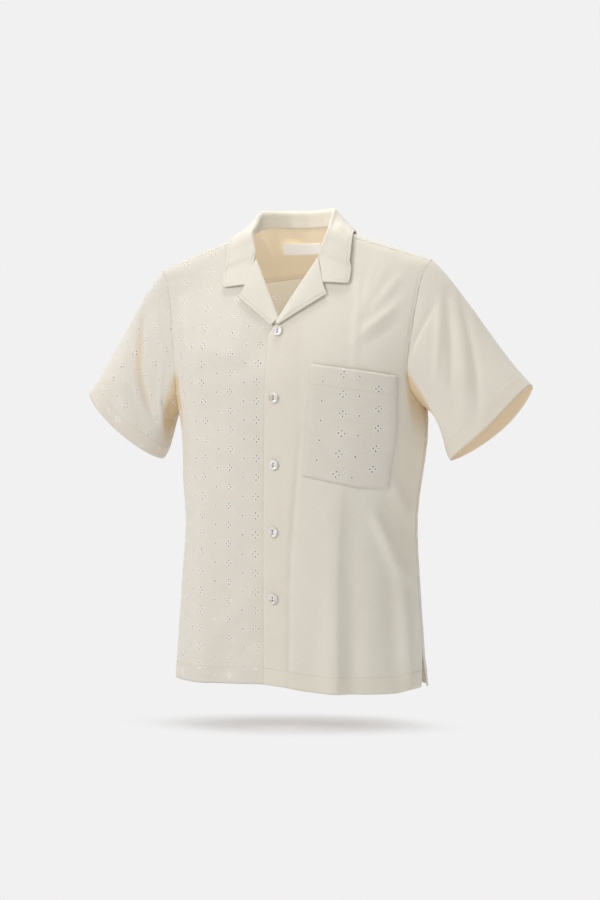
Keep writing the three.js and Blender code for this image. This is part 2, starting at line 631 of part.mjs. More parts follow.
function lapelPlace(share, from, outer) {
  const tip = LAPEL_SHARES[LAPEL_TIP_ROW];
  const brk = { x: mix(BREAK_FOOT.x, BREAK_HEAD.x, share), z: mix(BREAK_FOOT.z, BREAK_HEAD.z, share) };
  const t = (share - from) / (tip - from);
  const u = (share - tip) / (1 - tip);
  const edge = share <= tip ? { x: mix(outer.x, LAPEL_TIP.x, t), z: mix(outer.z, LAPEL_TIP.z, t) }
    : { x: mix(LAPEL_TIP.x, LAPEL_NOTCH.x, u), z: mix(LAPEL_TIP.z, LAPEL_NOTCH.z, u) };
  return { brk, edge };
}

// The facing goes round the edge of the front like a U and lies on it as the lapel.
function facingRows(from, outer, folds, sunk) {
  const LEG = 2.9;     // from the middle of the front to the middle of the facing
  const shares = [from, ...LAPEL_SHARES.filter((share) => share > from + 0.04)];
  return shares.map((share) => {
    const { brk, edge } = lapelPlace(share, from, outer);
    const wide = Math.hypot(edge.x - brk.x, edge.z - brk.z);
    const way = { x: (edge.x - brk.x) / wide, z: (edge.z - brk.z) / wide };
    const steps = [
      { d: 11, lift: -LEG }, { d: 3, lift: -LEG }, { d: -1.1, lift: -LEG * 0.8 }, { d: -2.2, lift: 0 },
      { d: -1.1, lift: LEG * 0.8 }, { d: 2.5, lift: LEG + 0.3 }, { d: wide * 0.33 + 2, lift: LEG + 1.4 },
      { d: wide * 0.67 + 1, lift: LEG + 1.1 }, { d: wide, lift: LEG + 0.5 },
    ];
    return steps.map(({ d, lift }) => {
      const [x, z] = [brk.x + way.x * d, brk.z + way.z * d];
      return { p: onFront(x, z, lift - (sunk ? sinkAt(x, z) : 0), folds), out: 0.75, in: 0.75 };
    });
  });
}

// Normals of a grid from its own points.
function withNormals(rows, flip) {
  const [height, width] = [rows.length, rows[0].length];
  rows.forEach((row, j) => row.forEach((cell, i) => {
    const across = row[Math.min(width - 1, i + 1)].p.clone().sub(row[Math.max(0, i - 1)].p);
    const up = rows[Math.min(height - 1, j + 1)][i].p.clone().sub(rows[Math.max(0, j - 1)][i].p);
    cell.n = across.cross(up).normalize();
    if (flip) cell.n.negate();
  }));
  return rows;
}

// ---------------------------------------------------------------- collar
// Places all over one shoulder, each with the way out of the cloth.
const SHOULDER = [];
for (let c = 0; c <= YOKE_COLUMNS; c += 0.5) {
  for (let t = 0; t <= 1; t += 0.125) {
    SHOULDER.push({ p: yokePoint(c, t), n: normalOf(yokePoint, c, t, false) });
  }
}
for (let level = 0.04; level < 0.5; level += 0.03) {
  const from = angleAtX(frontEdge(level), level);
  for (let share = 0; share <= 1; share += 0.05) {
    const angle = mix(from, edgeAngle(level, false), share);
    const surface = (a, l) => bodyPoint(a, l, false);
    SHOULDER.push({ p: surface(angle, level), n: normalOf(surface, angle, level, true) });
  }
}

// Moves a point off the shoulder until it is this far from it, or right onto that distance to rest.
function offShoulder(point, lift, rests) {
  for (let k = 0; k < 3; k += 1) {
    const near = SHOULDER.reduce((best, one) => (
      one.p.distanceTo(point) < best.p.distanceTo(point) ? one : best));
    const off = point.clone().sub(near.p).dot(near.n);
    if (rests || off < lift) point.addScaledVector(near.n, lift - off);
  }
  return point;
}

// The neck seam from 0 at the centre back, over 4 at the shoulder, to 5 at the head of the lapel.
function neckSeam(at) {
  if (at >= 4) {
    const x = mix(NECK_POINT.x, BREAK_HEAD.x, at - 4);
    const { angle, level } = frontPlace(x, mix(NECK_POINT.z, BREAK_HEAD.z, at - 4));
    const surface = (a, l) => bodyPoint(a, l, false);
    return { p: surface(angle, level), n: normalOf(surface, angle, level, true) };
  }
  const whole = Math.floor(at);
  return { p: yokePoint(whole, 0).lerp(yokePoint(whole + 1, 0), at - whole) };
}

function collarSection(row) {
  const { p, n } = neckSeam(row.seam);
  const fold = vec(row.fx, row.fy, row.fz);
  const edge = offShoulder(vec(row.ex, row.ey, row.ez), SHOULDER_LIFT, true);
  const leaf = (far, belly) => [far, ...[0.33, 0.67].map((t) => (
    offShoulder(far.clone().lerp(edge, t).add(belly), SHOULDER_LIFT, false))), edge];
  if (n) {
    const out = edge.clone().sub(p);
    out.addScaledVector(n, -out.dot(n)).normalize();
    const place = (away, up) => p.clone().addScaledVector(out, away).addScaledVector(n, up);
    const share = clamp01((row.seam - 4) / 0.8);
    const [foot, top] = [mix(-0.5, 3, share), mix(6.4, 4.9, share)];
    return [
      place(-2.9, foot), place(-2.7, mix(foot, top - 1, 0.5)), place(-2, top - 1), place(0.2, top),
      ...leaf(place(3.2, top), n),
    ];
  }
  const out = vec(edge.x - fold.x, edge.y - fold.y, 0).normalize();
  const seat = p.clone().addScaledVector(out, -2.7).add(vec(0, 0, -1));
  const round = Math.min(3, (fold.z - seat.z) * 0.22);
  const near = fold.clone().addScaledVector(out, -round).add(vec(0, 0, -round * 1.1));
  const far = fold.clone().addScaledVector(out, round).add(vec(0, 0, -round * 1.1));
  offShoulder(far, SHOULDER_LIFT, false);
  return [seat, seat.clone().lerp(near, 0.5), near, fold, ...leaf(far, out.clone().multiplyScalar(1.6))];
}

function leafSection(row) {
  const shares = [0, 0.04, 0.08, 0.13, 0.2, 0.45, 0.72, 1];
  return shares.map((t) => {
    const bow = 1.6 * Math.sin(Math.PI * t);
    return onFront(mix(row.gx, row.ex, t) + GORGE_ROOM, mix(row.gz, row.ez, t), LEAF_LIFT + bow);
  });
}

function collarRows() {
  const places = [0, 0.5, 1, 1.5, 2, 2.5, 3, 3.5, 4, 5, 5.5, 6];
  const round = places.map((at) => {
    const get = (column) => along(COLLAR, column, at / 6);
    const row = {};
    for (const name of Object.keys(COLLAR[0])) row[name] = get(name);
    return collarSection(row);
  });
  const [behind, before] = [round[8], round[9]];
  const ridge = behind.map((p, i) => p.clone().lerp(before[i], 0.5));
  for (const p of ridge.slice(5)) offShoulder(p, SHOULDER_LIFT, p === ridge[7]);
  round.splice(9, 0, ridge);
  const leaf = [0, 0.5, 1, 1.5, 2].map((k) => {
    const row = {};
    for (const name of ['gx', 'gz', 'ex', 'ez']) row[name] = along(COLLAR_LEAF, name, k / 2);
    return leafSection(row);
  });
  const left = [...round, ...leaf];
  const right = left.slice(1).reverse().map((line) => line.map((p) => vec(-p.x, p.y, p.z)));
  const thick = 1.1;
  return [...right, ...left].map((line) => line.map((p) => ({ p: p.clone(), out: thick, in: thick })));
}

// ---------------------------------------------------------------- pocket, label, buttons
function pocketRows() {
  const [across, up] = [8, 9];
  const LIFT = 3;
  return Array.from({ length: up + 1 }, (_, j) => Array.from({ length: across + 1 }, (__, i) => {
    const [s, t] = [i / across, j / up];
    const foot = (axis) => mix(POCKET.footInner[axis], POCKET.footOuter[axis], s);
    const at = (axis) => mix(foot(axis), mix(POCKET.topInner[axis], POCKET.topOuter[axis], s), t);
    const gape = 2.2 * Math.sin(Math.PI * s) * smooth((t - 0.6) / 0.4);
    const { share, drop } = POCKET.footBend;
    const bend = drop * (s < share ? s / share : (1 - s) / (1 - share)) * (1 - smooth(t / 0.5));
    return { p: onFront(at('x'), at('z') - bend, LIFT + gape), out: 0.9, in: 0.9 };
  }));
}

// Inside the back of the yoke, level, hanging on the cloth.
function labelRows() {
  return [0, 1, 2].map((j) => Array.from({ length: 7 }, (_, i) => {
    const x = LABEL_SIZE.shift + (i / 6 - 0.5) * LABEL_SIZE.width;
    const column = (Math.abs(x) / 62) * NECK_COLUMNS;
    let t = 0.3;
    const level = LABEL_SIZE.top - (1 - j / 2) * LABEL_SIZE.height;
    for (let k = 0; k < 20; k += 1) t += (yokePoint(column, t).z - level) / 150;
    const [p, n] = [yokePoint(column, t), normalOf(yokePoint, column, t, false)];
    p.addScaledVector(n, -2.3);
    return { p: vec(x, p.y, p.z), out: 0.3, in: 0.3 };
  }));
}

function buttonGeometry() {
  const bevel = 0.5;
  const disc = new THREE.Shape();
  disc.absarc(0, 0, BUTTON_RADIUS - bevel, 0, 2 * Math.PI, false);
  for (const side of [-1, 1]) {
    const hole = new THREE.Path();
    hole.absarc(0, side * 1.7, 0.75 + bevel, 0, 2 * Math.PI, true);
    disc.holes.push(hole);
  }
  return new THREE.ExtrudeGeometry(disc, {
    depth: BUTTON_THICK - 2 * bevel, bevelEnabled: true, bevelThickness: bevel, bevelSize: bevel,
    bevelSegments: 1, curveSegments: 5,
  });
}

// ---------------------------------------------------------------- the shirt
const shirt = new THREE.Group();

function add(name, geometry, material) {
  const mesh = new THREE.Mesh(geometry, material);
  mesh.name = name;
  shirt.add(mesh);
  return mesh;
}

const frontLeft = frontRows(FRONT_LEFT_FOLDS, false);
const frontRight = mirrored(frontRows(FRONT_RIGHT_FOLDS, true));
const back = backRows();
const yoke = yokeRows();

// Rows seen from the other side; the cells stay the same ones.
const turnedRows = (rows) => rows.map((row) => [...row].reverse());
const ringLeft = armholeRing(frontLeft, yoke, back);
const ringRight = armholeRing(frontRight, turnedRows(yoke), turnedRows(back));
const sleeveLeft = sleeveRows(ringLeft.map((cell) => cell.p.clone()), CUFFS.left);
const seatsRight = ringRight.map((cell) => vec(-cell.p.x, cell.p.y, cell.p.z));
const sleeveRight = mirrored(sleeveRows(seatsRight, CUFFS.right));

// Sews one side: front to yoke, front to back down to the slit, and the sleeve into its ring.
function sewSide(front, yokeSide, backSide, ring, sleeve) {
  const last = (rows) => rows[rows.length - 1];
  const frontTopRow = last(front);
  for (let i = 0; i < FRONT_COLUMNS; i += 1) {
    meet([frontTopRow[i], last(yokeSide)[YOKE_COLUMNS + NECK_COLUMNS + i]]);
  }
  for (let j = VENT_ROW; j < LOWER_ROWS; j += 1) meet([last(front[j]), last(backSide[j])]);
  const corners = new Map([
    [ring[0], last(backSide[LOWER_ROWS])],
    [last(frontTopRow), last(last(yokeSide))],
    [last(last(backSide)), last(yokeSide[0])],
  ]);
  const groups = ring.map((cell, k) => (
    corners.has(cell) ? [cell, sleeve[0][k], corners.get(cell)] : [cell, sleeve[0][k]]));
  groups.forEach(meet);
  partArmhole(groups, sleeve);
}
sewSide(frontLeft, yoke, back, ringLeft, sleeveLeft);
sewSide(frontRight, turnedRows(yoke), turnedRows(back), ringRight, sleeveRight);
back[back.length - 1].slice(1, -1).forEach((cell, k) => meet([cell, yoke[0][k + 1]]));
trim(frontLeft, ['end', 'top']);
trim(frontRight, ['end', 'top']);
trim(back, ['start', 'end', 'top']);
trim(yoke, ['foot', 'top']);
for (const rows of [frontLeft, frontRight, back, yoke, sleeveLeft, sleeveRight]) settle(rows);

add('front_left', wall(frontLeft), CREAM);
add('front_right', wall(frontRight), EYELET);
add('back', wall(back), EYELET);
add('yoke', wall(yoke), CREAM);
add('sleeve_left', wall(sleeveLeft, true), CREAM);
add('sleeve_right', wall(sleeveRight, true), EYELET);
add('collar', wall(withNormals(collarRows())), CREAM);

const leftFacing = facingRows(0.045, { x: 3.5, z: -144.5 }, FRONT_LEFT_FOLDS, false);
const rightFacing = facingRows(0.12, { x: 12, z: -144 }, FRONT_RIGHT_FOLDS, true);
add('facing_left', wall(withNormals(leftFacing)), CREAM);
add('facing_right', wall(mirrored(withNormals(rightFacing))), CREAM);
add('pocket', wall(withNormals(pocketRows())), EYELET);
add('label', wall(withNormals(labelRows())), LABEL);

for (let k = 0; k < BUTTON_COUNT; k += 1) {
  const button = add(`button_${k + 1}`, buttonGeometry(), PEARL);
  const z = BUTTON_TOP_Z - k * BUTTON_STEP;
  const seat = onFront(BUTTON_X, z, half + SEAM_GAP + 0.4);
  const n = onFront(BUTTON_X, z, half + 1).sub(onFront(BUTTON_X, z, half)).normalize();
  button.position.copy(hang(seat));
  button.quaternion.setFromUnitVectors(vec(0, 0, 1), n);
}

export default shirt;
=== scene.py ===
"""A short-sleeved camp-collar shirt, filled out as it hangs when worn, with nobody in it.

Lengths are in millimetres up to the making of each mesh, which is in metres.
x is the wearer's left, -y the front and z up. s is a length of cloth round the body.
"""

import math

import bmesh
import bpy
import numpy as np
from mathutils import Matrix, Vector
from mathutils.geometry import delaunay_2d_cdt


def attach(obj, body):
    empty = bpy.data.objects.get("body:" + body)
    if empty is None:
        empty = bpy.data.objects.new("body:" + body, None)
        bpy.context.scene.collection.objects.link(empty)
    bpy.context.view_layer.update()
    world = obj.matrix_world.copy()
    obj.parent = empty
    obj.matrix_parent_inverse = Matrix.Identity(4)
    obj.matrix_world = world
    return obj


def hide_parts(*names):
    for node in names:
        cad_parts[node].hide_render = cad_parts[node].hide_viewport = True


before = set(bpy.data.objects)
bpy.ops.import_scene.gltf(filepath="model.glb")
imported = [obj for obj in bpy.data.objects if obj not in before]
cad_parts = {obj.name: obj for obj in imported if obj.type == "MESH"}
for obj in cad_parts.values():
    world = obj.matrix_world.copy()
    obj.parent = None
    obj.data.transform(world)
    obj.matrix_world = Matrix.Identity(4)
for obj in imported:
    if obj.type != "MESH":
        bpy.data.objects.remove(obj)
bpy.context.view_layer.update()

bl_info = {
    "name": "Camp-collar shirt",
    "version": (1, 0, 0),
    "blender": (4, 5, 0),
    "location": "View3D > Sidebar > Shirt",
    "description": "Builds a camp-collar shirt with eyelet panels, its sewing and its stage",
    "category": "Add Mesh",
}

# ---------------------------------------------------------------- sizes shared with the frame
UNDERARM_Z, HEM_Z = -272.0, -703.0
VENT_HEIGHT, VENT_LAP, VENT_FLARE = 52.0, 13.0, 4.0
CHEST_FRONT, CHEST_SIDE, SHOULDER_SPREAD = -93.0, 207.0, 33.0
SHOULDER_TOP, SHOULDER_SLOPE = 44.9, 0.39
RIDGE_ROUND, RIDGE_FADE = 5.0, 30.0
BUTTON_X, BUTTON_TOP_Z, BUTTON_STEP, BUTTON_COUNT = 2.0, -155.0, 103.0, 5
UNDERLAP_SINK, LAPEL_SINK = 1.9, 7.4
YOKE_COLUMNS, NECK_COLUMNS = 16, 4
# Hems: heights of their stitched lines on the body and on a sleeve, and rows of eyelet cells in one.
HEM_LINE, SLEEVE_HEM, HEM_ROWS = 25.8, 25.0, 7
# A second layer of cloth lifts the first by the step, over the fade.
LAYER_STEP, LAYER_FADE = 0.35, 1.2
# Cell of a grid of plain cloth.
PLAIN_CELL = (3.2, 3.2)
# Distance of stitched lines from edges in the shading, and two that stand for no line near.
EDGE_LINE, CLEAR, FAR = 5.5, 60.0, 99.0

# Level sections of the body by height: half width, and y of the front, the side seam and the back.
BODY = {
    "z": (-703, -640, -560, -456, -369, -272),
    "side": (209, 205, 199, 193.5, 200, 207),
    "front": (-95, -95, -96, -96, -94, -93),
    "seam": (13, 14, 15, 15, 12, 5),
    "back": (124, 126, 130, 136, 141, 138),
}
# y of the back over the shoulder blades by level, where 0 is the shoulder line and 1 the underarm.
BACK = {
    "level": (0.1, 0.19, 0.3, 0.45, 0.62, 0.8, 1),
    "back": (74, 86, 98, 112, 125, 134, 138),
}
# x of the armhole seam by level, in front and behind.
ARMHOLE = {
    "level": (0, 0.05, 0.155, 0.315, 0.52, 0.66, 0.77, 0.87, 0.94, 1),
    "front": (231, 224, 215, 208.5, 202.5, 198.5, 196, 197, 202, 207),
    "back": (231, 229, 226, 220, 213, 208.5, 205.5, 204, 205, 207),
}
# The front's free edge, the line on which the lapel turns out, its tip and its notch, the neck seam.
FRONT_EDGE = {"z": (-160, -148, -39, 3), "x": (-14, -4, 54, 65.5)}
BREAK_FOOT, BREAK_HEAD = (-4.0, -148.0), (54.0, -39.0)
LAPEL_TIP, LAPEL_NOTCH, TIP_LEVEL = (74.0, -99.0), (64.0, -80.0), 0.305
# Across a facing: share of the lapel's width, further millimetres, and rise over the front.
FACING = (
    (0, 11, -2.9), (0, 3, -2.9), (0, -1.1, -2.3), (0, -2.2, 0), (0, -1.1, 2.3), (0, 2.5, 3.2),
    (0.33, 2, 4.3), (0.67, 1, 4.0), (1, 0, 3.4),
)
NECK = ((0, 62, 19), (30, 55, 19), (53, 35, 18.5), (64, 8, 14), (65.5, -19, 3))
# Corners of the pocket and cells, fold and stitched line on it; ends of the label.
POCKET = {"foot": ((46, -377), (168, -396)), "top": ((60, -207), (183, -225))}
POCKET_CELLS, POCKET_FOLD, POCKET_STITCH = (33, 46), 30.0, 2.0
POCKET_EDGE = (*POCKET["foot"], *POCKET["top"][::-1])
LABEL = {"x": (-43, 13), "down": (-3, 13), "neck": 62}
# Buttons: radius of the dish, radius and offset of a hole, heights of the dish's back and front.
DISH, HOLE, HOLE_OFF, DISH_FACES = 3.6, 1.3, 2.0, (0.3, 1.75)
# The cuffs: middle, half height and half depth, lean in degrees, and how far the oval bows out.
CUFF_LEFT = {"centre": (308.5, 27, -297), "tall": 86, "deep": 47, "lean": 41.5, "bow": 7}
CUFF_RIGHT = {"centre": (316, 27, -296), "tall": 83.5, "deep": 47, "lean": 41.3, "bow": 7}
# The sides hang a little to the left at underarm height, and the hem of the front dips and rises.
SWAY = {"most": 8.0, "z": -310.0, "reach": 70.0}
HEM_DIP = {"x": (-130, -70, -20, 20, 53, 110, 180, 208), "dip": (0, -2.5, -4.5, -1.5, 3.5, 7, 7, 1)}

# The left half of the collar: sections from the centre back to the notch, each from the neck
# seam up the stand, over the fold and down the leaf to its outer edge.
COLLAR = (
    ((0, 59.3, 18), (0, 57.7, 30.4), (0, 56, 42.7), (0, 59, 46), (0, 62, 42.7), (0, 71.4, 24.6),
     (0, 79.4, 5.9), (0, 85.5, -12.3)),
    ((12.8, 56.3, 18), (12.8, 55.2, 30.4), (12.8, 54.2, 42.8), (13.1, 57.2, 46.1), (13.5, 60.2, 42.8),
     (14.6, 69.8, 24.9), (15.6, 78.1, 6.6), (16.4, 84.6, -11.2)),
    ((29.2, 52.4, 18), (28.7, 51.3, 30.4), (28.1, 50.1, 42.7), (29, 53, 46), (29.9, 55.9, 42.7),
     (32.7, 65.4, 25.3), (35.1, 73.7, 7.5), (37, 80.2, -9.9)),
    ((40.3, 42.6, 17.8), (40, 42.3, 30.1), (39.7, 42.1, 42.5), (41.1, 44.8, 45.8), (42.4, 47.4, 42.5),
     (47.2, 56.6, 26), (51.4, 64.5, 9), (54.6, 70.8, -7.4)),
    ((51.3, 32.9, 17.5), (50.2, 32.3, 29.6), (49.2, 31.6, 41.7), (51, 34, 45), (52.8, 36.4, 41.7),
     (59, 44.3, 26), (64.4, 51.2, 9.8), (68.6, 56.6, -5.9)),
    ((56.6, 19.2, 15.1), (56.2, 19.1, 27.5), (55.7, 19, 40), (58.3, 20.6, 43.3), (60.8, 22.2, 40),
     (69.9, 27.9, 25.5), (77.8, 33, 10.6), (84.1, 37, -3.8)),
    ((61.4, 7.1, 13), (60.8, 7.1, 24.9), (60.2, 7, 36.7), (63, 8, 40), (65.8, 9, 36.7), (77, 12.8, 24.8),
     (87, 16.3, 12.5), (95.2, 19.1, 0.6)),
    ((61.8, -0.2, 10), (61.7, 0, 20.5), (61.6, 0.1, 31.1), (64.6, 0.7, 34.4), (67.5, 1.2, 31.1),
     (79.6, 3.5, 21.8), (90.5, 5.5, 12.2), (99.4, 7.1, 2.9)),
    ((62.1, -5.9, 7.7), (61.8, -5.5, 15.7), (61.5, -5.2, 23.7), (64.5, -5, 27), (67.5, -4.8, 23.7),
     (80.3, -4.1, 17.1), (91.9, -3.4, 10.2), (101.5, -2.8, 3.6)),
    ((62.5, -12.4, 5.9), (62.7, -13.6, 10.5), (63.1, -14.7, 14.9), (65.6, -15.2, 16.2),
     (68.4, -15.2, 13.8), (81.4, -18.5, 9), (93.8, -16.3, 3.8), (104.4, -20.9, -3.8)),
    ((62.9, -18.9, 4.2), (63.5, -21.6, 5.3), (64.6, -24.3, 6.2), (66.7, -25.4, 5.5), (69.3, -25.6, 4),
     (81.1, -26.9, -2.6), (93.2, -27.2, -9.8), (104.7, -26.7, -17.2)),
    ((58, -27.6, -13.5), (58.4, -29.2, -13.2), (59.2, -30.7, -13), (61.3, -31.7, -13.6),
     (64.1, -31.7, -14.9), (77.7, -32.6, -20.8), (91.6, -32.5, -27.2), (105, -31.5, -33.7)),
    ((53.9, -34.4, -28.7), (54.1, -34.8, -28.7), (54.9, -35.2, -28.8), (57, -36.2, -29.2),
     (59.9, -36.1, -30.2), (74.9, -36.8, -35.3), (90.3, -36.5, -40.9), (105.2, -35.2, -46.6)),
    ((54.6, -37.7, -39.5), (57.4, -37.8, -39.9), (60.1, -38, -40.4), (63.2, -38.2, -41.1),
     (66.8, -38.4, -42.3), (79.7, -38.8, -46.6), (93.4, -38.1, -51.6), (107.6, -36.3, -57)),
    ((56.8, -40.7, -49.3), (59.5, -40.8, -49.6), (62.2, -40.9, -49.9), (65.2, -41.1, -50.5),
     (68.6, -41.2, -51.4), (81, -41.3, -54.8), (94.1, -40.3, -58.9), (107.7, -38.3, -63.3)),
    ((59.6, -44.5, -61.4), (62.2, -44.6, -61.5), (64.8, -44.7, -61.7), (67.6, -44.7, -62),
     (70.9, -44.8, -62.6), (82.5, -44.5, -64.9), (94.9, -43.1, -67.8), (107.6, -40.8, -71)),
    ((62.1, -47.9, -71.8), (64.6, -47.9, -71.7), (67, -47.9, -71.7), (69.7, -47.9, -71.8),
     (72.8, -47.9, -72.2), (83.7, -47.3, -73.5), (95.3, -45.6, -75.2), (107.2, -42.9, -77.4)),
    ((64, -50.3, -79.4), (66.3, -50.3, -79.3), (68.7, -50.3, -79.1), (71.3, -50.2, -79.1),
     (74.2, -50.2, -79.2), (84.5, -49.4, -79.8), (95.4, -47.5, -80.7), (106.7, -44.6, -82)),
)

# Folds, as soft ridges (height above 0) and troughs (below 0) between two places:
# x, z of one end, x, z of the other, half width, height. Small ones follow the large ones.
FRONT_LEFT_FOLDS = (
    (96, -395, 98, -1010, 17, 4.5), (122, -385, 122, -1010, 17, -5), (150, -400, 156, -900, 24, -2.5),
    (148, -425, 190, -545, 8, 7), (184, -505, 203, -760, 8, 6.5), (168, -370, 207, -490, 7, 5.5),
    (196, -95, 110, -185, 10, 1.6),
    (173, -470, 180, -700, 13, -3), (0, -684, 212, -684, 12, 2.6),
    (-16, -550, 34, -550, 9, -2.6), (-16, -614, 24, -614, 8, -1.4), (-10, -300, 60, -330, 9, -0.8),
    (120, -25, 126, -250, 5, 1.2), (148, -30, 124, -152, 6, 1.1), (167, -36, 128, -138, 7, 1.2),
    (192, -60, 134, -136, 7, 1.4), (180, -116, 132, -164, 6, 1.5), (188, -136, 138, -182, 7, -1.2),
    (194, -84, 148, -146, 7, -1),
)
FRONT_RIGHT_FOLDS = (
    (60, -480, 115, -900, 26, -3), (120, -380, 150, -960, 26, 3.5), (175, -300, 165, -640, 18, -3),
    (190, -90, 130, -270, 16, 4),
    (26, -560, 135, -655, 15, 4), (-5, -606, 110, -706, 15, -3.4), (0, -684, 212, -684, 12, 1.5),
    (16, -550, -34, -550, 9, -2.6), (150, -180, 60, -190, 20, 1.6), (20, -212, 150, -214, 14, -1.4),
    (176, -250, 186, -520, 10, -2.2),
)
BACK_FOLDS = (
    (-155, -120, -118, -960, 24, 5.5), (-96, -220, -84, -980, 26, -5.5), (-28, -190, -40, -990, 26, 5),
    (24, -260, 33, -960, 24, -4.5), (80, -200, 92, -980, 24, 5.5), (152, -130, 128, -950, 24, -4.5),
    (-188, -150, -120, -262, 12, 3), (-192, -180, -132, -292, 12, -3), (182, -140, 110, -240, 12, 3),
    (186, -172, 124, -272, 12, -3), (-60, -420, -20, -640, 11, 2.4), (60, -480, 96, -690, 10, -2.4),
    (-205, -684, 205, -684, 12, 1.8),
)
# Creases, with a sharp crest: the same, but with a half width on each side.
FRONT_LEFT_CREASES = ((108, -380, 100, -560, 12, 5, 1.8), (102, -500, 104, -1000, 12, 5, 2.2),
                      (44, -300, 28, -545, 2.2, 2.2, -1.8), (30, -500, 27, -700, 2.2, 2.2, -1.6))
# Lines in the shade of the lapels and of the collar's leaves: x, z at both ends.
LAPEL_LINES = ((4, -118, 58, -82), (58, -82, 60, -74), (60, -66, 88, -64))
# Folds of a sleeve: degrees round it from the top, towards the front if negative, and the share
# of the way from armhole to cuff, at each end, then half width and height.
SLEEVE_LEFT_FOLDS = (
    (-24, 0.18, -104, 0.40, 9, 2.6), (-8, 0.20, -102, 0.58, 8, -2.8), (-14, 0.30, -118, 0.84, 10, 2.4),
    (4, 0.28, -104, 0.94, 7, -2.8), (48, 0.1, 70, 0.9, 15, -4), (90, 0.1, 98, 0.9, 16, 4),
    (132, 0, 127, 0.8, 13, -3),
)
SLEEVE_RIGHT_FOLDS = (
    (-10, 0.28, -138, 0.62, 10, -5.5), (-92, 0.10, -162, 0.55, 9, 2), (-34, 0.5, -116, 0.9, 17, 3.4),
    (-4, 0.34, -60, 0.6, 9, 2), (48, 0.1, 64, 0.9, 15, -4), (90, 0.1, 104, 0.9, 16, 4),
    (132, 0, 120, 0.8, 13, -3),
)
SLEEVE_LEFT_CREASES = ((-30, 0.2, -118, 0, 3, 7, -2.4),)
SLEEVE_RIGHT_CREASES = ((-60, 0.14, -128, 0.02, 5, 8, -2),)

# ---------------------------------------------------------------- the eyelet repeat, in cells
CELL = (3.75, 3.6875)
REPEAT = (28, 8)
# Cells that hold a hole: across, up, and how far it is moved outwards in its cell.
HOLES = (
    (1, 0, 0.5, 0), (-1, 0, -0.5, 0), (0, 1, 0, 0.5), (0, -1, 0, -0.5),
    (6, 0, 0, 0),
    (14, -4, 0, 0), (12, -4, 0, 0), (13, -3, 0, 0), (13, -5, 0, 0),
    (20, -4, 0, 0),
)
HOLE_RADIUS = 1.4
# The middle of a flower: s and cells above the hem on the body, cells above the cuff on a sleeve,
# and cells from the lower corner on the pocket.
FLOWER_S, FLOWER_ROW, SLEEVE_FLOWER_ROW, POCKET_FLOWER = 29.0, 119.5, 20.5, (13.5, 43.5)

# ---------------------------------------------------------------- the stage, in metres and degrees
FLOOR_Z, MIDDLE_Z = -0.771, -0.33
CAMERA = {"turn": 22, "side": 0.007, "back": 3, "z": -0.338, "lens": 75.96}


# ---------------------------------------------------------------- arithmetic of curves
def mix(a, b, t):
    """The value t of the way from a to b."""
    return a + (b - a) * t


def smooth(t):
    """0 below 0 and 1 above 1, and 3t squared less 2t cubed between."""
    t = np.clip(t, 0, 1)
    return t * t * (3 - 2 * t)


def unit(v):
    """Vectors brought to length 1."""
    return v / np.maximum(np.linalg.norm(v, axis=-1, keepdims=True), 1e-12)


def read(table, key, at, column):
    """A column at a place of the key: cubics between rows, whose slope at a row is the harmonic
    mean of the slopes on its two sides, or 0 where they differ in sign."""
    xs, ys = np.array(table[key], float), np.array(table[column], float)
    slope = np.diff(ys) / np.diff(xs)
    before, after = slope[:-1], slope[1:]
    both = before * after > 0
    inner = np.where(both, 2 * before * after / np.where(both, before + after, 1), 0)
    m = np.concatenate([slope[:1], inner, slope[-1:]])
    at = np.clip(at, xs[0], xs[-1])
    i = np.clip(np.searchsorted(xs, at, side="right") - 1, 0, len(xs) - 2)
    h = xs[i + 1] - xs[i]
    t = (at - xs[i]) / h
    return hermite(ys[i], ys[i + 1], m[i] * h, m[i + 1] * h, t)


def hermite(p, q, dp, dq, t):
    """The cubic from p to q that leaves with dp and arrives with dq."""
    ends = (2 * t**3 - 3 * t**2 + 1) * p + (t**3 - 2 * t**2 + t) * dp
    return ends + (3 * t**2 - 2 * t**3) * q + (t**3 - t**2) * dq


def spline(points, at):
    """A curve through points (along the first axis) at row numbers, with a tangent at each point
    that weighs the chords beside it by the other's length."""
    chord = np.diff(points, axis=0)
    h = np.maximum(np.linalg.norm(chord, axis=-1, keepdims=True), 1e-9)
    way = chord / h
    inner = (way[1:] * h[:-1] + way[:-1] * h[1:]) / (h[1:] + h[:-1])
    tangent = np.concatenate([way[:1], inner, way[-1:]])
    i = np.clip(np.floor(at).astype(int), 0, len(points) - 2)
    t = (at - i).reshape((-1,) + (1,) * (points.ndim - 1))
    return hermite(points[i], points[i + 1], tangent[i] * h[i], tangent[i + 1] * h[i], t)


def even(steps):
    """Row numbers that cut each span between rows into the given number of steps."""
    parts = [k + np.arange(n) / n for k, n in enumerate(steps)]
    return np.concatenate(parts + [[len(steps)]])


def running(points, axis=0):
    """Lengths along a curve, or along the rows or columns of a grid of points, from 0 at the start."""
    step = np.linalg.norm(np.diff(points, axis=axis), axis=-1)
    return np.concatenate([0 * step.take([0], axis), np.cumsum(step, axis=axis)], axis)


def curve_at(curve, key, at):
    """Points of a curve at places of a key, in straight shares between its own."""
    return np.stack([np.interp(at, key, curve[:, k]) for k in range(3)], -1)


def nearest(lines):
    """Of several distances with signs, the one nearest to 0 at each place."""
    lines = np.stack(lines)
    return np.take_along_axis(lines, np.abs(lines).argmin(0)[None], 0)[0]


def ring(radius, count, across=0.0, up=0.0):
    """Places on a circle, as x and y."""
    turn = np.linspace(0, 2 * math.pi, count, endpoint=False)
    return np.stack([across + radius * np.cos(turn), up + radius * np.sin(turn)], -1)


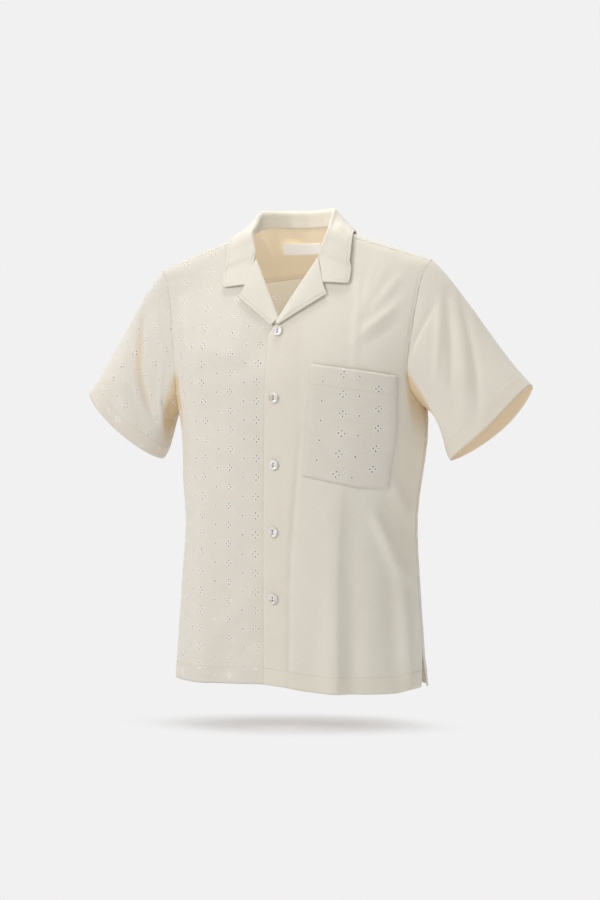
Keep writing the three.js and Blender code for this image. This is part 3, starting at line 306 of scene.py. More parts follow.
def bilinear(table, r, c):
    """A table at fractional row and column numbers."""
    r = np.clip(r, 0, table.shape[0] - 1.000001)
    c = np.clip(c, 0, table.shape[1] - 1.000001)
    i, j = r.astype(int), c.astype(int)
    u, v = r - i, c - j
    return mix(table[i, j], table[i, j + 1], v) * (1 - u) + mix(table[i + 1, j], table[i + 1, j + 1], v) * u


def beside(a, b, a0, b0, a1, b1):
    """The share of a straight line from (a0, b0) to (a1, b1) at its point nearest to each place, and
    how far away from that point the place lies in both ways."""
    da, db = a1 - a0, b1 - b0
    share = np.clip(((a - a0) * da + (b - b0) * db) / (da * da + db * db), 0, 1)
    return share, a - a0 - share * da, b - b0 - share * db


def fold_lift(folds, a, b):
    """The sum over folds of height, times sin(pi share)^0.8 along the fold, times
    exp(-(distance / half width)^2) across it."""
    lift = np.zeros(np.broadcast(a, b).shape)
    for *line, width, height in folds:
        share, ga, gb = beside(a, b, *line)
        lift = lift + height * np.sin(math.pi * share) ** 0.8 * np.exp(-((np.hypot(ga, gb) / width) ** 2))
    return lift


def crease_lift(creases, a, b):
    """The sum over creases of height, times sin(pi share)^0.6 along it, times exp(-distance / half
    width), whose crest is rounded by 1 mm and whose half width is another on each side."""
    lift = np.zeros(np.broadcast(a, b).shape)
    for *line, before, after, height in creases:
        share, ga, gb = beside(a, b, *line)
        width = np.where(ga * (line[3] - line[1]) - gb * (line[2] - line[0]) > 0, before, after)
        away = np.sqrt(ga * ga + gb * gb + 1) - 1
        lift = lift + height * np.sin(math.pi * share) ** 0.6 * np.exp(-away / width)
    return lift


def ripple(a, b, seed):
    """Soft unevenness of hanging cloth, between about -1 and 1: sines of lengths from 60 to 150 mm
    whose ways and phases are drawn from a seeded list."""
    draw = np.random.default_rng(seed)
    total = np.zeros(np.broadcast(a, b).shape)
    for length in (61, 74, 97, 123, 149):
        way, phase = draw.uniform(-0.5, 0.5), draw.uniform(0, 6.28)
        total = total + np.sin(6.283 * (a * math.cos(way) + b * math.sin(way) * 0.6) / length + phase) / 4
    return total


def hang(p):
    """Where points end up when the finished garment hangs: x moved by the sway, a bell of the height
    that fades towards the centre line, and the front's low end moved down by its dip."""
    x, y, z = p.T
    sway = SWAY["most"] * np.exp(-(((z - SWAY["z"]) / SWAY["reach"]) ** 2)) * smooth(np.abs(x) / 150)
    low = smooth((-500 - z) / 200) * smooth(-y / 50)
    return np.stack([x + sway, y, z - read(HEM_DIP, "x", x, "dip") * low], -1)


# ---------------------------------------------------------------- the body's surface
def shoulder_z(x):
    """Height of the shoulder line: a straight fall from the middle."""
    return SHOULDER_TOP - SHOULDER_SLOPE * np.abs(x)


def level_at(x, z):
    """0 on the shoulder line, 1 at the underarm, in even shares of the drop between."""
    return (shoulder_z(x) - z) / (shoulder_z(x) - UNDERARM_Z)


def level_below(x, z):
    """The level of a place given by its x and height, above and below the underarm."""
    return np.where(z > UNDERARM_Z, level_at(x, z), 1 + (UNDERARM_Z - z) / (UNDERARM_Z - HEM_Z))


def level_on(angle, z):
    """The level of a place given by its angle and height, above and below the underarm."""
    level = np.clip((30 - z) / (30 - UNDERARM_Z), 0, 1)
    for _ in range(6):
        x = (CHEST_SIDE + SHOULDER_SPREAD * (1 - level)) * np.sin(angle)
        level = np.clip(level_at(x, z), 0, 1)
    return np.where(z > UNDERARM_Z, level, 1 + (UNDERARM_Z - z) / (UNDERARM_Z - HEM_Z))


def section(level, back):
    """Half width, seam depth and middle depth of the level section, and its height below the underarm."""
    z = mix(UNDERARM_Z, HEM_Z, level - 1)
    low = level > 1
    if back:
        upper = read(BACK, "level", level, "back")
    else:
        upper = CHEST_FRONT * np.sin(math.pi / 2 * np.clip(level, 0, 1))
    side = np.where(low, read(BODY, "z", z, "side"), CHEST_SIDE + SHOULDER_SPREAD * (1 - level))
    seam = np.where(low, read(BODY, "z", z, "seam"), 5 * level)
    middle = np.where(low, read(BODY, "z", z, "back" if back else "front"), upper)
    return side, seam, middle, z


def body_point(angle, level, back):
    """x = side sin(angle), y from seam to middle by cos(angle), and above the underarm a rounding of
    y by 5 sqrt(drop) exp(-drop / 30) where the cloth turns over the shoulder."""
    side, seam, middle, z = section(level, back)
    x = side * np.sin(angle)
    y = seam + (middle - seam) * np.cos(angle)
    drop = np.maximum(level * (shoulder_z(x) - UNDERARM_Z), 0)
    turn = np.where(level <= 1, RIDGE_ROUND * np.sqrt(drop) * np.exp(-drop / RIDGE_FADE), 0)
    z = np.where(level <= 1, shoulder_z(x) - drop, z)
    return np.stack([x, y + (turn if back else -turn), z], -1)


def normal_of(surface, a, b):
    """Way out of a surface of two numbers, from the cross product of its steps along both."""
    d = 1e-3
    across = surface(a + d, b) - surface(a - d, b)
    up = surface(a, b + d) - surface(a, b - d)
    return unit(np.cross(across, up))


def edge_angle(level, back):
    """Angle of the armhole seam, or of the side seam below it."""
    share = read(ARMHOLE, "level", np.clip(level, 0, 1), "back" if back else "front")
    return np.where(level >= 1, math.pi / 2, np.arcsin(np.clip(share / section(level, back)[0], -1, 1)))


def vent_pull(z):
    """Angle by which the front is drawn back at the slit: 0 at its top, most at the hem."""
    return VENT_LAP / 110 * np.clip((HEM_Z + VENT_HEIGHT - z) / VENT_HEIGHT, 0, 1)


def front_top(share):
    """Level of the front yoke seam."""
    return mix(0.055, 0.022, share)


def back_top(share):
    """Level of the back yoke seam."""
    return level_at(226 * share, -56 - 26 * share**2)


def free_edge(level, start, rounds):
    """x of the front's free edge at a level, found in rounds from a start."""
    x = start
    for _ in range(rounds):
        x = np.interp(shoulder_z(x) - level * (shoulder_z(x) - UNDERARM_Z), FRONT_EDGE["z"], FRONT_EDGE["x"])
    return x


def sink_at(x, z):
    """How far the right front lies behind the left one, fading out away from the centre."""
    near = smooth((72 - x) / 52)
    return near * mix(UNDERLAP_SINK, LAPEL_SINK, smooth((z + 225) / 60)) * smooth((-45 - z) / 85)


class BodyCloth:
    """The cloth of a front or of the back. A place is (s, z), where s is the length of cloth along
    the level section from the centre line."""

    def __init__(self, back, folds, creases=(), mirror=False, sunk=False, seed=1, step_at=None):
        self.back, self.folds, self.creases = back, folds, creases
        self.mirror, self.sunk, self.seed, self.step_at = mirror, sunk, seed, step_at
        self.z0, self.dz = HEM_Z - 6, 3.0
        self.a0, self.da = -0.25, 0.0075
        self.s0, self.ds = -60.0, 2.0
        heights = np.arange(self.z0, 50, self.dz)
        angles = np.arange(self.a0, math.pi / 2 + self.da, self.da)
        a, z = np.meshgrid(np.minimum(angles, math.pi / 2), heights)
        s = running(body_point(a, level_on(a, z), back), 1)
        self.length = s - np.array([np.interp(0, angles, row) for row in s])[:, None]
        spots = np.arange(self.s0, 340, self.ds)
        self.angles = np.array([np.interp(spots, row, a[0]) for row in self.length])
        level = np.linspace(0.012, 1, 200)
        edge = edge_angle(level, back)
        self.edge_z, self.edge_a = body_point(edge, level, back)[::-1, 2], edge[::-1]
        share = np.linspace(0, 1, 60)
        if back:
            top = back_top(share)
            place = body_point(edge_angle(top, True) * share, top, True)
        else:
            top = front_top(share)
            start = np.arcsin(free_edge(top, 65.0, 12) / section(top, False)[0])
            place = body_point(mix(start, edge_angle(top, False), share), top, False)
        self.top_x, self.top_z = place[:, 0], place[:, 2]

    def angle(self, s, z):
        """Angle of a place, from the table of lengths."""
        row = (z - self.z0) / self.dz
        if self.back:
            return np.sign(s) * bilinear(self.angles, row, (np.abs(s) - self.s0) / self.ds)
        return bilinear(self.angles, row, (s - self.s0) / self.ds)

    def spot(self, angle, z):
        """Length s of a place given by its angle."""
        sign = np.where(angle < 0, -1.0, 1.0) if self.back else 1.0
        return sign * bilinear(self.length, (z - self.z0) / self.dz, (angle * sign - self.a0) / self.da)

    def x(self, s, z):
        """x of a place."""
        angle = self.angle(s, z)
        return section(level_on(angle, z), self.back)[0] * np.sin(angle)

    def high(self, z):
        """s of the armhole or side seam."""
        angle = np.where(z > UNDERARM_Z, np.interp(z, self.edge_z, self.edge_a), math.pi / 2)
        return self.spot(angle if self.back else angle - vent_pull(z), z)

    def low(self, z):
        """s of the free edge of a front, or of the other side seam of the back."""
        if self.back:
            return -self.high(z)
        x = np.interp(z, FRONT_EDGE["z"], FRONT_EDGE["x"])
        return self.spot(np.arcsin(x / section(level_below(x, z), False)[0]), z)

    def top(self, x):
        """Height of the yoke seam."""
        return np.interp(np.abs(x), self.top_x, self.top_z)

    def rim(self, s, z):
        """Distance from the nearest stitched line, in millimetres, with its sign."""
        lines = [z - (HEM_Z + HEM_LINE)]
        if z.size:
            below = np.where(z > UNDERARM_Z + 3, 0, CLEAR)
            if not self.mirror:
                lines.append(self.high(z) - s - EDGE_LINE + below)
            if self.back:
                lines.append(s - self.low(z) - EDGE_LINE + below)
        return nearest(lines)

    def facing_edge(self, s, z):
        """How far a place lies inside the edge of the facing, which runs down the inner side."""
        return mix(*self.step_at, smooth((-300 - z) / 240)) - s

    def relief(self, p, s, z, angle, level):
        """Folds and unevenness, which die out at sewn edges; the hem's two layers; the facing's edge."""
        if self.back:
            share = np.clip(np.abs(s) / self.high(z), 0, 1)
            toward = smooth((edge_angle(level, True) - np.abs(angle)) / 0.3)
            toward = toward * smooth((self.top(p[..., 0]) - z) / 40)
            lift = VENT_FLARE * share**6 * vent_pull(z) * 110 / VENT_LAP
        else:
            toward = smooth((edge_angle(level, False) - angle) / 0.25) * smooth((level - 0.06) / 0.14)
            lift = 0.0
        x, height = p[..., 0], p[..., 2]
        folds = fold_lift(self.folds, x, height) + crease_lift(self.creases, x, height)
        lift = lift + (folds + 0.7 * ripple(s, z, self.seed)) * toward
        lift = lift + LAYER_STEP * smooth((HEM_Z + HEM_LINE - z) / LAYER_FADE)
        if self.step_at is not None:
            lift = lift + LAYER_STEP * smooth(self.facing_edge(s, z) / 2.5) * smooth((-170 - z) / 60)
        return lift - (sink_at(x, height) if self.sunk else 0)

    def points(self, s, z, lift=0.0):
        """Points and ways out at places, lifted off the cloth's middle."""
        angle = self.angle(s, z)
        level = level_on(angle, z)
        base = body_point(angle, level, self.back)
        n = normal_of(lambda a, b: body_point(a, b, self.back), angle, level)
        n = n if self.back else -n
        p = base + n * (self.relief(base, s, z, angle, level) + lift)[..., None]
        if self.mirror:
            p, n = p * (-1, 1, 1), n * (-1, 1, 1)
        return p, n

    def warmth(self, s, z):
        """Share of warm light that comes through: near the side seams, most under the arm, in the hem
        and the facing, where the cloth lies double, and on a front along the lapel lines."""
        x = self.x(s, z)
        side = smooth((np.abs(x) - 165) / 36) * smooth((-185 - z) / 50) * smooth((z + 600) / 200)
        double = smooth((HEM_Z + HEM_LINE - z) / LAYER_FADE)
        if self.step_at is not None:
            double = np.maximum(double, smooth(self.facing_edge(s, z) / 2.5))
        near = np.full(np.shape(x), FAR)
        for ax, az, bx, bz in () if self.back else LAPEL_LINES:
            sign = -1 if self.mirror else 1
            near = np.minimum(near, np.hypot(*beside(x, z, sign * ax, az, sign * bx, bz)[1:]))
        pit = smooth((np.abs(x) - (183 if self.mirror else 189)) / 8)
        pit = pit * smooth((-205 - z) / 25) * smooth((z + 340) / 90)
        side = side * (0.45 if self.back else 0.16)
        under = 0.8 * smooth((8 - near) / 7)
        return np.max(np.broadcast_arrays(side, 0.05 * double, under, 0.85 * pit), axis=0)

    def dark(self, s, z):
        """Share of shade: on the plain front behind the pocket."""
        return None if self.back or self.mirror else pocket_shade(self.x(s, z), z)

    def at_x(self, x, z, lift=0.0):
        """Points and ways out at places given by x."""
        angle = np.arcsin(np.clip(x / section(level_below(x, z), self.back)[0], -1, 1))
        return self.points(self.spot(angle, z), z, lift)


# ---------------------------------------------------------------- yoke and sleeves
def front_seam(share):
    """Points of the front yoke seam from the neck to the shoulder tip, and the way up there."""
    level = front_top(share)
    start = np.arcsin(free_edge(level, 65.0, 12) / section(level, False)[0])
    angle = mix(start, edge_angle(level, False), share)
    top = body_point(angle, level, False)
    return top, unit(top - body_point(angle, level + 0.004, False))


def yoke_point(column, t):
    """A cubic over the shoulder from the neck or front seam (t = 0) to the back seam (t = 1).
    Columns 0 to 4 go along the neck from the centre back, and 4 to 16 along the front seam."""
    column, t = np.broadcast_arrays(np.asarray(column, float), np.asarray(t, float))
    share = column / YOKE_COLUMNS
    level = back_top(share)
    angle = edge_angle(level, True) * share
    foot = body_point(angle, level, True)
    foot_way = unit(body_point(angle, level + 0.01, True) - foot)
    neck = np.clip(column / NECK_COLUMNS, 0, 1)
    flat = neck.ravel() * (len(NECK) - 1)
    neck_top = spline(np.array(NECK, float), flat).reshape(neck.shape + (3,))
    neck_way = unit(np.stack([mix(0, 0.3, neck), mix(0.42, 0.9, neck), mix(-0.9, 0.1, neck)], -1))
    seam_top, seam_way = front_seam(np.clip((column - NECK_COLUMNS) / (YOKE_COLUMNS - NECK_COLUMNS), 0, 1))
    turn = smooth(column - NECK_COLUMNS + 1)[..., None]
    top, way = mix(neck_top, seam_top, turn), unit(mix(neck_way, seam_way, turn))
    span = np.linalg.norm(top - foot, axis=-1, keepdims=True)
    return hermite(top, foot, way * span * mix(0.9, 0.62, turn), foot_way * span, t[..., None])


class SleeveCloth:
    """The cloth of a sleeve. A place is (c, d): c is the length round it from the top line, towards
    the front if negative, measured at three quarters of its length, and d the way up from the cuff.
    hollow is the share of warm light in its troughs."""

    def __init__(self, cuff, folds, creases, hollow, mirror=False, seed=5):
        self.cuff, self.folds, self.creases, self.hollow = cuff, folds, creases, hollow
        self.mirror, self.seed = mirror, seed
        level = np.linspace(1, front_top(1.0), 200)
        up = body_point(edge_angle(level, False), level, False)
        over = yoke_point(16.0, np.linspace(0, 1, 40)[1:-1])
        level = np.linspace(back_top(1.0), 1, 200)
        down = body_point(edge_angle(level, True), level, True)
        armhole = np.concatenate([up, over, down])
        run = running(armhole)
        tip = run[armhole[:, 2].argmax()]
        turn = np.where(run <= tip, -math.pi * (1 - run / tip), math.pi * (run - tip) / (run[-1] - tip))
        self.theta = np.linspace(-math.pi, math.pi, 241)
        self.armhole = curve_at(armhole, turn, self.theta)
        shares = np.linspace(0, 1, 81)
        theta, w = np.meshgrid(self.theta, shares)
        p = self.base(theta, w)
        c = running(p[60])
        self.c = c - c[120]
        up = running(p[::-1])[::-1]
        self.reach = up[0]
        self.drop = 3.0
        spots = np.arange(0, up.max() + 6, self.drop)
        self.share = np.array([np.interp(spots, up[::-1, k], shares[::-1]) for k in range(241)])

    def base(self, theta, w):
        """A cubic from the armhole ring to the cuff, an oval that leans with the sleeve."""
        seat = curve_at(self.armhole, self.theta, theta)
        cuff = self.cuff
        lean = math.radians(cuff["lean"])
        along = np.array([math.cos(lean), 0, math.sin(lean)])
        way = unit(np.array([math.sin(lean), 0.08, -math.cos(lean)]))
        cos, sin = np.cos(theta)[..., None], np.sin(theta)[..., None]
        end = cuff["centre"] + along * cuff["tall"] * cos + np.array([0, 1, 0]) * cuff["deep"] * sin
        end = end + way * cuff["bow"] * sin**2
        span = np.linalg.norm(end - seat, axis=-1, keepdims=True)
        high, low = ((1 + cos) / 2) ** 2, ((1 - cos) / 2) ** 6
        leave = unit(end - seat) * span * (1 - 0.45 * high) + np.array([0.9, 0.03, -0.4]) * span * 0.24 * high
        leave = leave + np.array([1, 0, 0.3]) * span * 0.72 * low
        leave = leave + np.array([0, 1, 0]) * np.sign(sin) * 22 * np.abs(sin)
        return hermite(seat, end, leave, way * span * 0.9, np.asarray(w)[..., None])

    def place(self, c, d):
        """Angle and share of a place."""
        theta = np.interp(c, self.c, self.theta)
        return theta, bilinear(self.share, (theta + math.pi) / (2 * math.pi) * 240, d / self.drop)

    def top(self, c):
        """d of the armhole seam."""
        return np.interp(c, self.c, self.reach)

    def relief(self, theta, w):
        """Folds and creases, whose shares of the way are taken as 250 mm long."""
        scaled = [[(a0, w0 * 250, a1, w1 * 250, *rest) for a0, w0, a1, w1, *rest in table]
                  for table in (self.folds, self.creases)]
        degrees = np.degrees(theta)
        return (fold_lift(scaled[0], degrees, w * 250) * smooth(w / 0.18)
                + crease_lift(scaled[1], degrees, w * 250) * smooth(w / 0.05))

    def warmth(self, c, d):
        """Share of warm light that comes through: under the arm, in the hollows of folds and in the hem."""
        theta, w = self.place(c, d)
        under = smooth((np.abs(np.degrees(theta)) - 120 - 50 * w) / 16) * (1 - smooth((w - 0.3) / 0.5))
        hollow = self.hollow * smooth(-self.relief(theta, w) / 6)
        return np.maximum(np.maximum(0.75 * under, hollow), 0.06 * smooth((SLEEVE_HEM - d) / LAYER_FADE))

    def rim(self, c, d):
        """Distance from the hem's stitched line, in millimetres, with its sign."""
        return d - SLEEVE_HEM

    def dark(self, c, d):
        """A sleeve has no shade of its own."""
        return None

    def points(self, c, d, lift=0.0):
        """Points and ways out at places, lifted off the cloth's middle. Close to the armhole the cap is
        tucked 1.5 mm under the body's edge."""
        theta, w = self.place(c, d)
        base = self.base(theta, w)
        n = -normal_of(self.base, np.clip(theta, -3.1405, 3.1405), np.clip(w, 0.002, 0.998))
        fold = self.relief(theta, w) + 0.6 * ripple(c, d, self.seed) * smooth(w / 0.22)
        fold = fold + LAYER_STEP * smooth((SLEEVE_HEM - d) / LAYER_FADE)
        p = base + n * (fold + lift)[..., None]
        tuck = 1 - smooth(w / 0.03)
        inward = unit(self.base(theta, 0 * w) - self.base(theta, 0 * w + 0.03))
        p = p + (inward * 1.5 - n * 0.35) * tuck[..., None]
        if self.mirror:
            p, n = p * (-1, 1, 1), n * (-1, 1, 1)
        return p, n


# ---------------------------------------------------------------- grids, holes and sewing
def clamped_grid(cloth, columns, rows):
    """Places of a regular grid of cloth, drawn in to the edges of the panel: s is held between the
    free edge and the seam, and places over the top seam are brought down to it in their column."""
    z = np.repeat(rows[:, None], len(columns), 1)
    s = np.clip(columns[None, :], cloth.low(rows)[:, None], cloth.high(rows)[:, None])
    x = cloth.x(s, z)
    inside = z < cloth.top(x) - 0.4
    last = np.maximum(inside.sum(0) - 1, 0)
    x_top = x[last, np.arange(len(columns))]
    z_top = cloth.top(x_top)
    level = level_at(x_top, z_top)
    s_top = cloth.spot(np.arcsin(np.clip(x_top / section(level, cloth.back)[0], -1, 1)), z_top)
    over = np.arange(len(rows))[:, None] > last[None, :]
    return np.where(over, s_top[None, :], s), np.where(over, z_top[None, :], z)


def sleeve_grid(cloth, columns, rows):
    """Places of a regular grid of a sleeve, brought down to the armhole seam."""
    c = np.repeat(columns[None, :], len(rows), 0)
    return c, np.minimum(rows[:, None], cloth.top(columns)[None, :])


def panel_faces(s, z, columns, rows, holes, radius):
    """Faces of a grid whose cells at the holes are rings of twelve points, and those points.
    A cell holds a hole only if the grid left all four of its corners where they were."""
    height, width = s.shape
    i = np.searchsorted(columns, holes[:, 0]) - 1
    j = np.searchsorted(rows, holes[:, 1]) - 1
    inside = (i >= 0) & (i < width - 1) & (j >= 0) & (j < height - 1)
    i, j, holes = i[inside], j[inside], holes[inside]
    whole = np.ones(len(i), bool)
    for di, dj in ((0, 0), (1, 0), (1, 1), (0, 1)):
        whole &= np.abs(s[j + dj, i + di] - columns[i + di]) < 1e-6
        whole &= np.abs(z[j + dj, i + di] - rows[j + dj]) < 1e-6
    i, j, holes = i[whole], j[whole], holes[whole]
    index = np.arange(height * width).reshape(height, width)
    plain = np.ones((height - 1, width - 1), bool)
    plain[j, i] = False
    quads = np.stack([index[:-1, :-1], index[:-1, 1:], index[1:, 1:], index[1:, :-1]], -1)[plain]
    turn = np.radians(-135 + 30 * np.arange(12))
    ring_s = holes[:, :1] + radius * np.cos(turn)
    ring_z = holes[:, 1:] + radius * np.sin(turn)
    first = height * width + 12 * np.arange(len(i))
    corner = np.stack([index[j, i], index[j, i + 1], index[j + 1, i + 1], index[j + 1, i]], -1)
    more, tris = [], []
    for k in range(4):
        a, b = corner[:, k], corner[:, (k + 1) % 4]
        r = [first + (3 * k + m) % 12 for m in range(4)]
        more.append(np.stack([a, b, r[2], r[1]], -1))
        tris.append(np.stack([a, r[1], r[0]], -1))
        tris.append(np.stack([b, r[3], r[2]], -1))
    quads = np.concatenate([quads] + more)
    return quads, np.concatenate(tris), ring_s.ravel(), ring_z.ravel(), holes


def hole_places(columns, rows, origin, cell=CELL):
    """Centres of all holes of the repeat over a grid. origin is the middle of one four-hole flower."""
    reach_s = int((columns[-1] - columns[0]) / (cell[0] * REPEAT[0])) + 2
    reach_z = int((rows[-1] - rows[0]) / (cell[1] * REPEAT[1])) + 2
    u = np.arange(-reach_s, reach_s + 1) * REPEAT[0]
    v = np.arange(-reach_z, reach_z + 1) * REPEAT[1]
    u, v = np.meshgrid(u, v)
    out = []
    for across, up, ds, dz in HOLES:
        place_s, place_z = (u + across) * cell[0] + ds, (v + up) * cell[1] + dz
        out.append(np.stack([origin[0] + place_s, origin[1] + place_z], -1))
    return np.concatenate([o.reshape(-1, 2) for o in out])


def ribbon(paths, half, height, closed=False):
    """A raised thread along flat paths: three lines, of which the middle one is lifted.
    Gives places, lifts and faces. paths is (count, length, 2)."""
    ahead, behind = np.roll(paths, -1, 1), np.roll(paths, 1, 1)
    if not closed:
        ahead[:, -1], behind[:, 0] = paths[:, -1], paths[:, 0]
    way = unit(ahead - behind)
    side = np.stack([-way[..., 1], way[..., 0]], -1)
    lines = np.stack([paths - side * half, paths, paths + side * half], 2)
    lift = np.broadcast_to(np.array([0.0, height, 0.0]), lines.shape[:3])
    count, length = paths.shape[:2]
    index = np.arange(count * length * 3).reshape(count, length, 3)
    after = np.roll(index, -1, 1) if closed else index[:, 1:]
    before = index if closed else index[:, :-1]
    quads = np.stack([before[..., :-1], before[..., 1:], after[..., 1:], after[..., :-1]], -1).reshape(-1, 4)
    return lines.reshape(-1, 2), lift.reshape(-1), quads[:, ::-1]


def embroidery(holes, radius, low, high, top):
    """Satin-stitched rings round the holes, and vines with small leaves that link them."""
    parts = [ribbon(holes[:, None, :] + ring(radius + 0.55, 12)[None], 0.7, 0.45, closed=True)]
    inner = holes[(low + 6 < holes[:, 0]) & (holes[:, 0] < high - 6) & (holes[:, 1] < top - 8)]
    t = np.linspace(0, 1, 13)
    cos, sin = np.cos(2 * math.pi * t), np.sin(2 * math.pi * t)
    vine = np.stack([-7 + 19 * t, -3.2 + 5.5 * t + 1.8 * sin], -1)
    leaf = np.stack([12.6 + 2.0 * cos, 3.4 + 0.9 * sin], -1)
    bud = np.stack([-8.2 + 1.4 * cos, -3.4 + 0.9 * sin], -1)
    for shape in (vine, leaf, bud) if len(inner) else ():
        parts.append(ribbon(inner[:, None, :] + shape[None], 0.22, 0.08))
    return parts


def stitches(curve, normals, pitch, long=2.3, wide=0.32):
    """Sewing stitches along a curve: each a stretched octahedron that stands half out of the cloth."""
    run = running(curve)
    count = max(int(run[-1] / pitch), 1)
    at = (np.arange(count) + 0.5) * run[-1] / count
    mid = curve_at(curve, run, at)
    way = unit(curve_at(curve, run, at + 0.8) - curve_at(curve, run, at - 0.8))
    n = unit(curve_at(normals, run, at))
    side = np.cross(n, way)
    tips = [-way * long / 2, way * long / 2]
    waist = [way * f * long + side * g * wide + n * h * wide
             for f in (-0.28, 0.28) for g, h in ((1, 0), (0, 1.1), (-1, 0), (0, -0.4))]
    points = mid[:, None, :] + np.stack(tips + waist, 1)
    tris = [(0, 3, 2), (0, 4, 3), (0, 5, 4), (0, 2, 5), (1, 6, 7), (1, 7, 8), (1, 8, 9), (1, 9, 6)]
    quads = [(2, 3, 7, 6), (3, 4, 8, 7), (4, 5, 9, 8), (5, 2, 6, 9)]
    base = 10 * np.arange(count)[:, None, None]
    quads, tris = np.array(quads)[None] + base, np.array(tris)[None] + base
    return points.reshape(-1, 3), quads.reshape(-1, 4), tris.reshape(-1, 3)


def grid_quads(height, width, close_columns=False):
    """Faces of a grid of points, closed round its columns if asked."""
    index = np.arange(height * width).reshape(height, width)
    after = np.roll(index, -1, 1) if close_columns else index[:, 1:]
    before = index if close_columns else index[:, :-1]
    return np.stack([before[:-1], after[:-1], after[1:], before[1:]], -1).reshape(-1, 4)


def at_height(places, height):
    """Points at flat places and a height."""
    return np.insert(places, 2, height, axis=1)


def grid_normals(p):
    """Ways out of a grid of points by the cross product of its differences."""
    return unit(np.cross(np.gradient(p, axis=1), np.gradient(p, axis=0)))


def near_edge(p, n, distance, end=-1):
    """The line on a grid that runs at a distance from its last or first column."""
    if end == 0:
        p, n = p[:, ::-1], n[:, ::-1]
    steps = np.arange(p.shape[1])
    at = steps[-1] - np.array([np.interp(distance, row, steps) for row in running(p[:, ::-1], 1)])
    rows = np.arange(p.shape[0], dtype=float)
    return tuple(np.stack([bilinear(g[..., k], rows, at) for k in range(3)], -1) for g in (p, n))


def joined(parts):
    """Points, quads and triangles of several pieces as one."""
    points, quads, tris, base = [], [], [], 0
    for p, q, t in parts:
        points.append(p)
        quads.append(q + base)
        tris.append(t + base)
        base += len(p)
    return np.concatenate(points), np.concatenate(quads), np.concatenate(tris)


NO_QUADS, NO_TRIS, NO_HOLES = np.zeros((0, 4), int), np.zeros((0, 3), int), np.zeros((0, 2))


# ---------------------------------------------------------------- making objects
def make_object(name, points, quads, tris, stuff, slot, places=None, rim=None, normals=None, weld=False,
                warm=None, lit=None, dark=None):
    """A mesh object at the origin from points in millimetres. places are lengths of cloth for the
    weave, rim the distance from a stitched line. warm, lit and dark are shares of painted light that
    comes through, of painted glow and of painted shade. Faces are turned to the given ways out."""
    mesh = bpy.data.meshes.new(name)
    points = hang(np.asarray(points, float).reshape(-1, 3))
    if normals is not None and len(quads):
        a, b, c = (points[quads[:, k]] for k in (0, 1, 2))
        facing = (np.cross(b - a, c - a) * normals.reshape(-1, 3)[quads[:, 0]]).sum()
        if facing < 0:
            quads, tris = quads[:, ::-1], tris[:, ::-1]
    mesh.from_pydata((points / 1000).tolist(), [], quads.tolist() + tris.tolist())
    corner = np.zeros(len(mesh.loops), np.int32)
    mesh.loops.foreach_get("vertex_index", corner)
    if places is not None:
        layer = mesh.uv_layers.new(name="cloth")
        layer.data.foreach_set("uv", (places.reshape(-1, 2)[corner] / 1000).astype(np.float32).ravel())
    for label, values in (("rim", rim), ("warm", warm), ("lit", lit), ("dark", dark)):
        if values is None:
            values = np.full(len(points), FAR if label == "rim" else 0.0)
        layer = mesh.attributes.new(label, "FLOAT", "POINT")
        layer.data.foreach_set("value", values.astype(np.float32).ravel())
    if weld:
        bm = bmesh.new()
        bm.from_mesh(mesh)
        bmesh.ops.remove_doubles(bm, verts=bm.verts, dist=2e-5)
        bmesh.ops.dissolve_degenerate(bm, dist=1e-6, edges=bm.edges)
        bm.to_mesh(mesh)
        bm.free()
    mesh.polygons.foreach_set("use_smooth", [True] * len(mesh.polygons))
    mesh.update()
    ob = bpy.data.objects.new(name, mesh)
    bpy.context.scene.collection.objects.link(ob)
    ob.data.materials.append(material(stuff))
    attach(ob, "root")
    return ob


def thicken(ob, thickness, inside=None):
    """Gives a sheet its thickness, half to each side, and its inner side a material of its own."""
    wall = ob.modifiers.new("Cloth", "SOLIDIFY")
    if inside:
        ob.data.materials.append(material(inside))
        wall.material_offset = 1
    wall.thickness = thickness / 1000
    wall.offset = 0
    wall.use_rim = True
    return ob


def sizes():
    return bpy.context.scene.shirt_sizes


def colours():
    return bpy.context.scene.shirt_colours


# ---------------------------------------------------------------- materials
def group(name, ins, outs):
    """An empty node group with named inputs (name, type, default) and outputs (name, type)."""
    tree = bpy.data.node_groups.new(name, "ShaderNodeTree")
    for label, kind, default in ins:
        socket = tree.interface.new_socket(label, in_out="INPUT", socket_type=kind)
        if default is not None:
            socket.default_value = default
    for label, kind in outs:
        tree.interface.new_socket(label, in_out="OUTPUT", socket_type=kind)
    return tree, tree.nodes.new("NodeGroupInput"), tree.nodes.new("NodeGroupOutput")


def node(tree, kind, inputs=None, **settings):
    """A node with settings and inputs, each input a value or a socket to link."""
    made = tree.nodes.new(kind)
    for key, value in settings.items():
        setattr(made, key, value)
    for key, value in (inputs or {}).items():
        if isinstance(value, bpy.types.NodeSocket):
            tree.links.new(value, made.inputs[key])
        else:
            made.inputs[key].default_value = value
    return made


def maths(tree, operation, *values, clamp=False):
    """A Math node's result."""
    inputs = dict(enumerate(values))
    return node(tree, "ShaderNodeMath", inputs, operation=operation, use_clamp=clamp).outputs[0]


def attribute(tree, name):
    """The value of a mesh attribute."""
    return node(tree, "ShaderNodeAttribute", attribute_name=name).outputs["Fac"]


def noise(tree, place, scale, detail, **more):
    """A Noise node's value."""
    inputs = {"Vector": place, "Scale": scale, "Detail": detail, **more}
    return node(tree, "ShaderNodeTexNoise", inputs).outputs["Fac"]


def blend(tree, share, a, b):
    """A Mix node's colour, from a to b."""
    inputs = {"Factor": share, "A": a, "B": b}
    return node(tree, "ShaderNodeMix", inputs, data_type="RGBA").outputs["Result"]


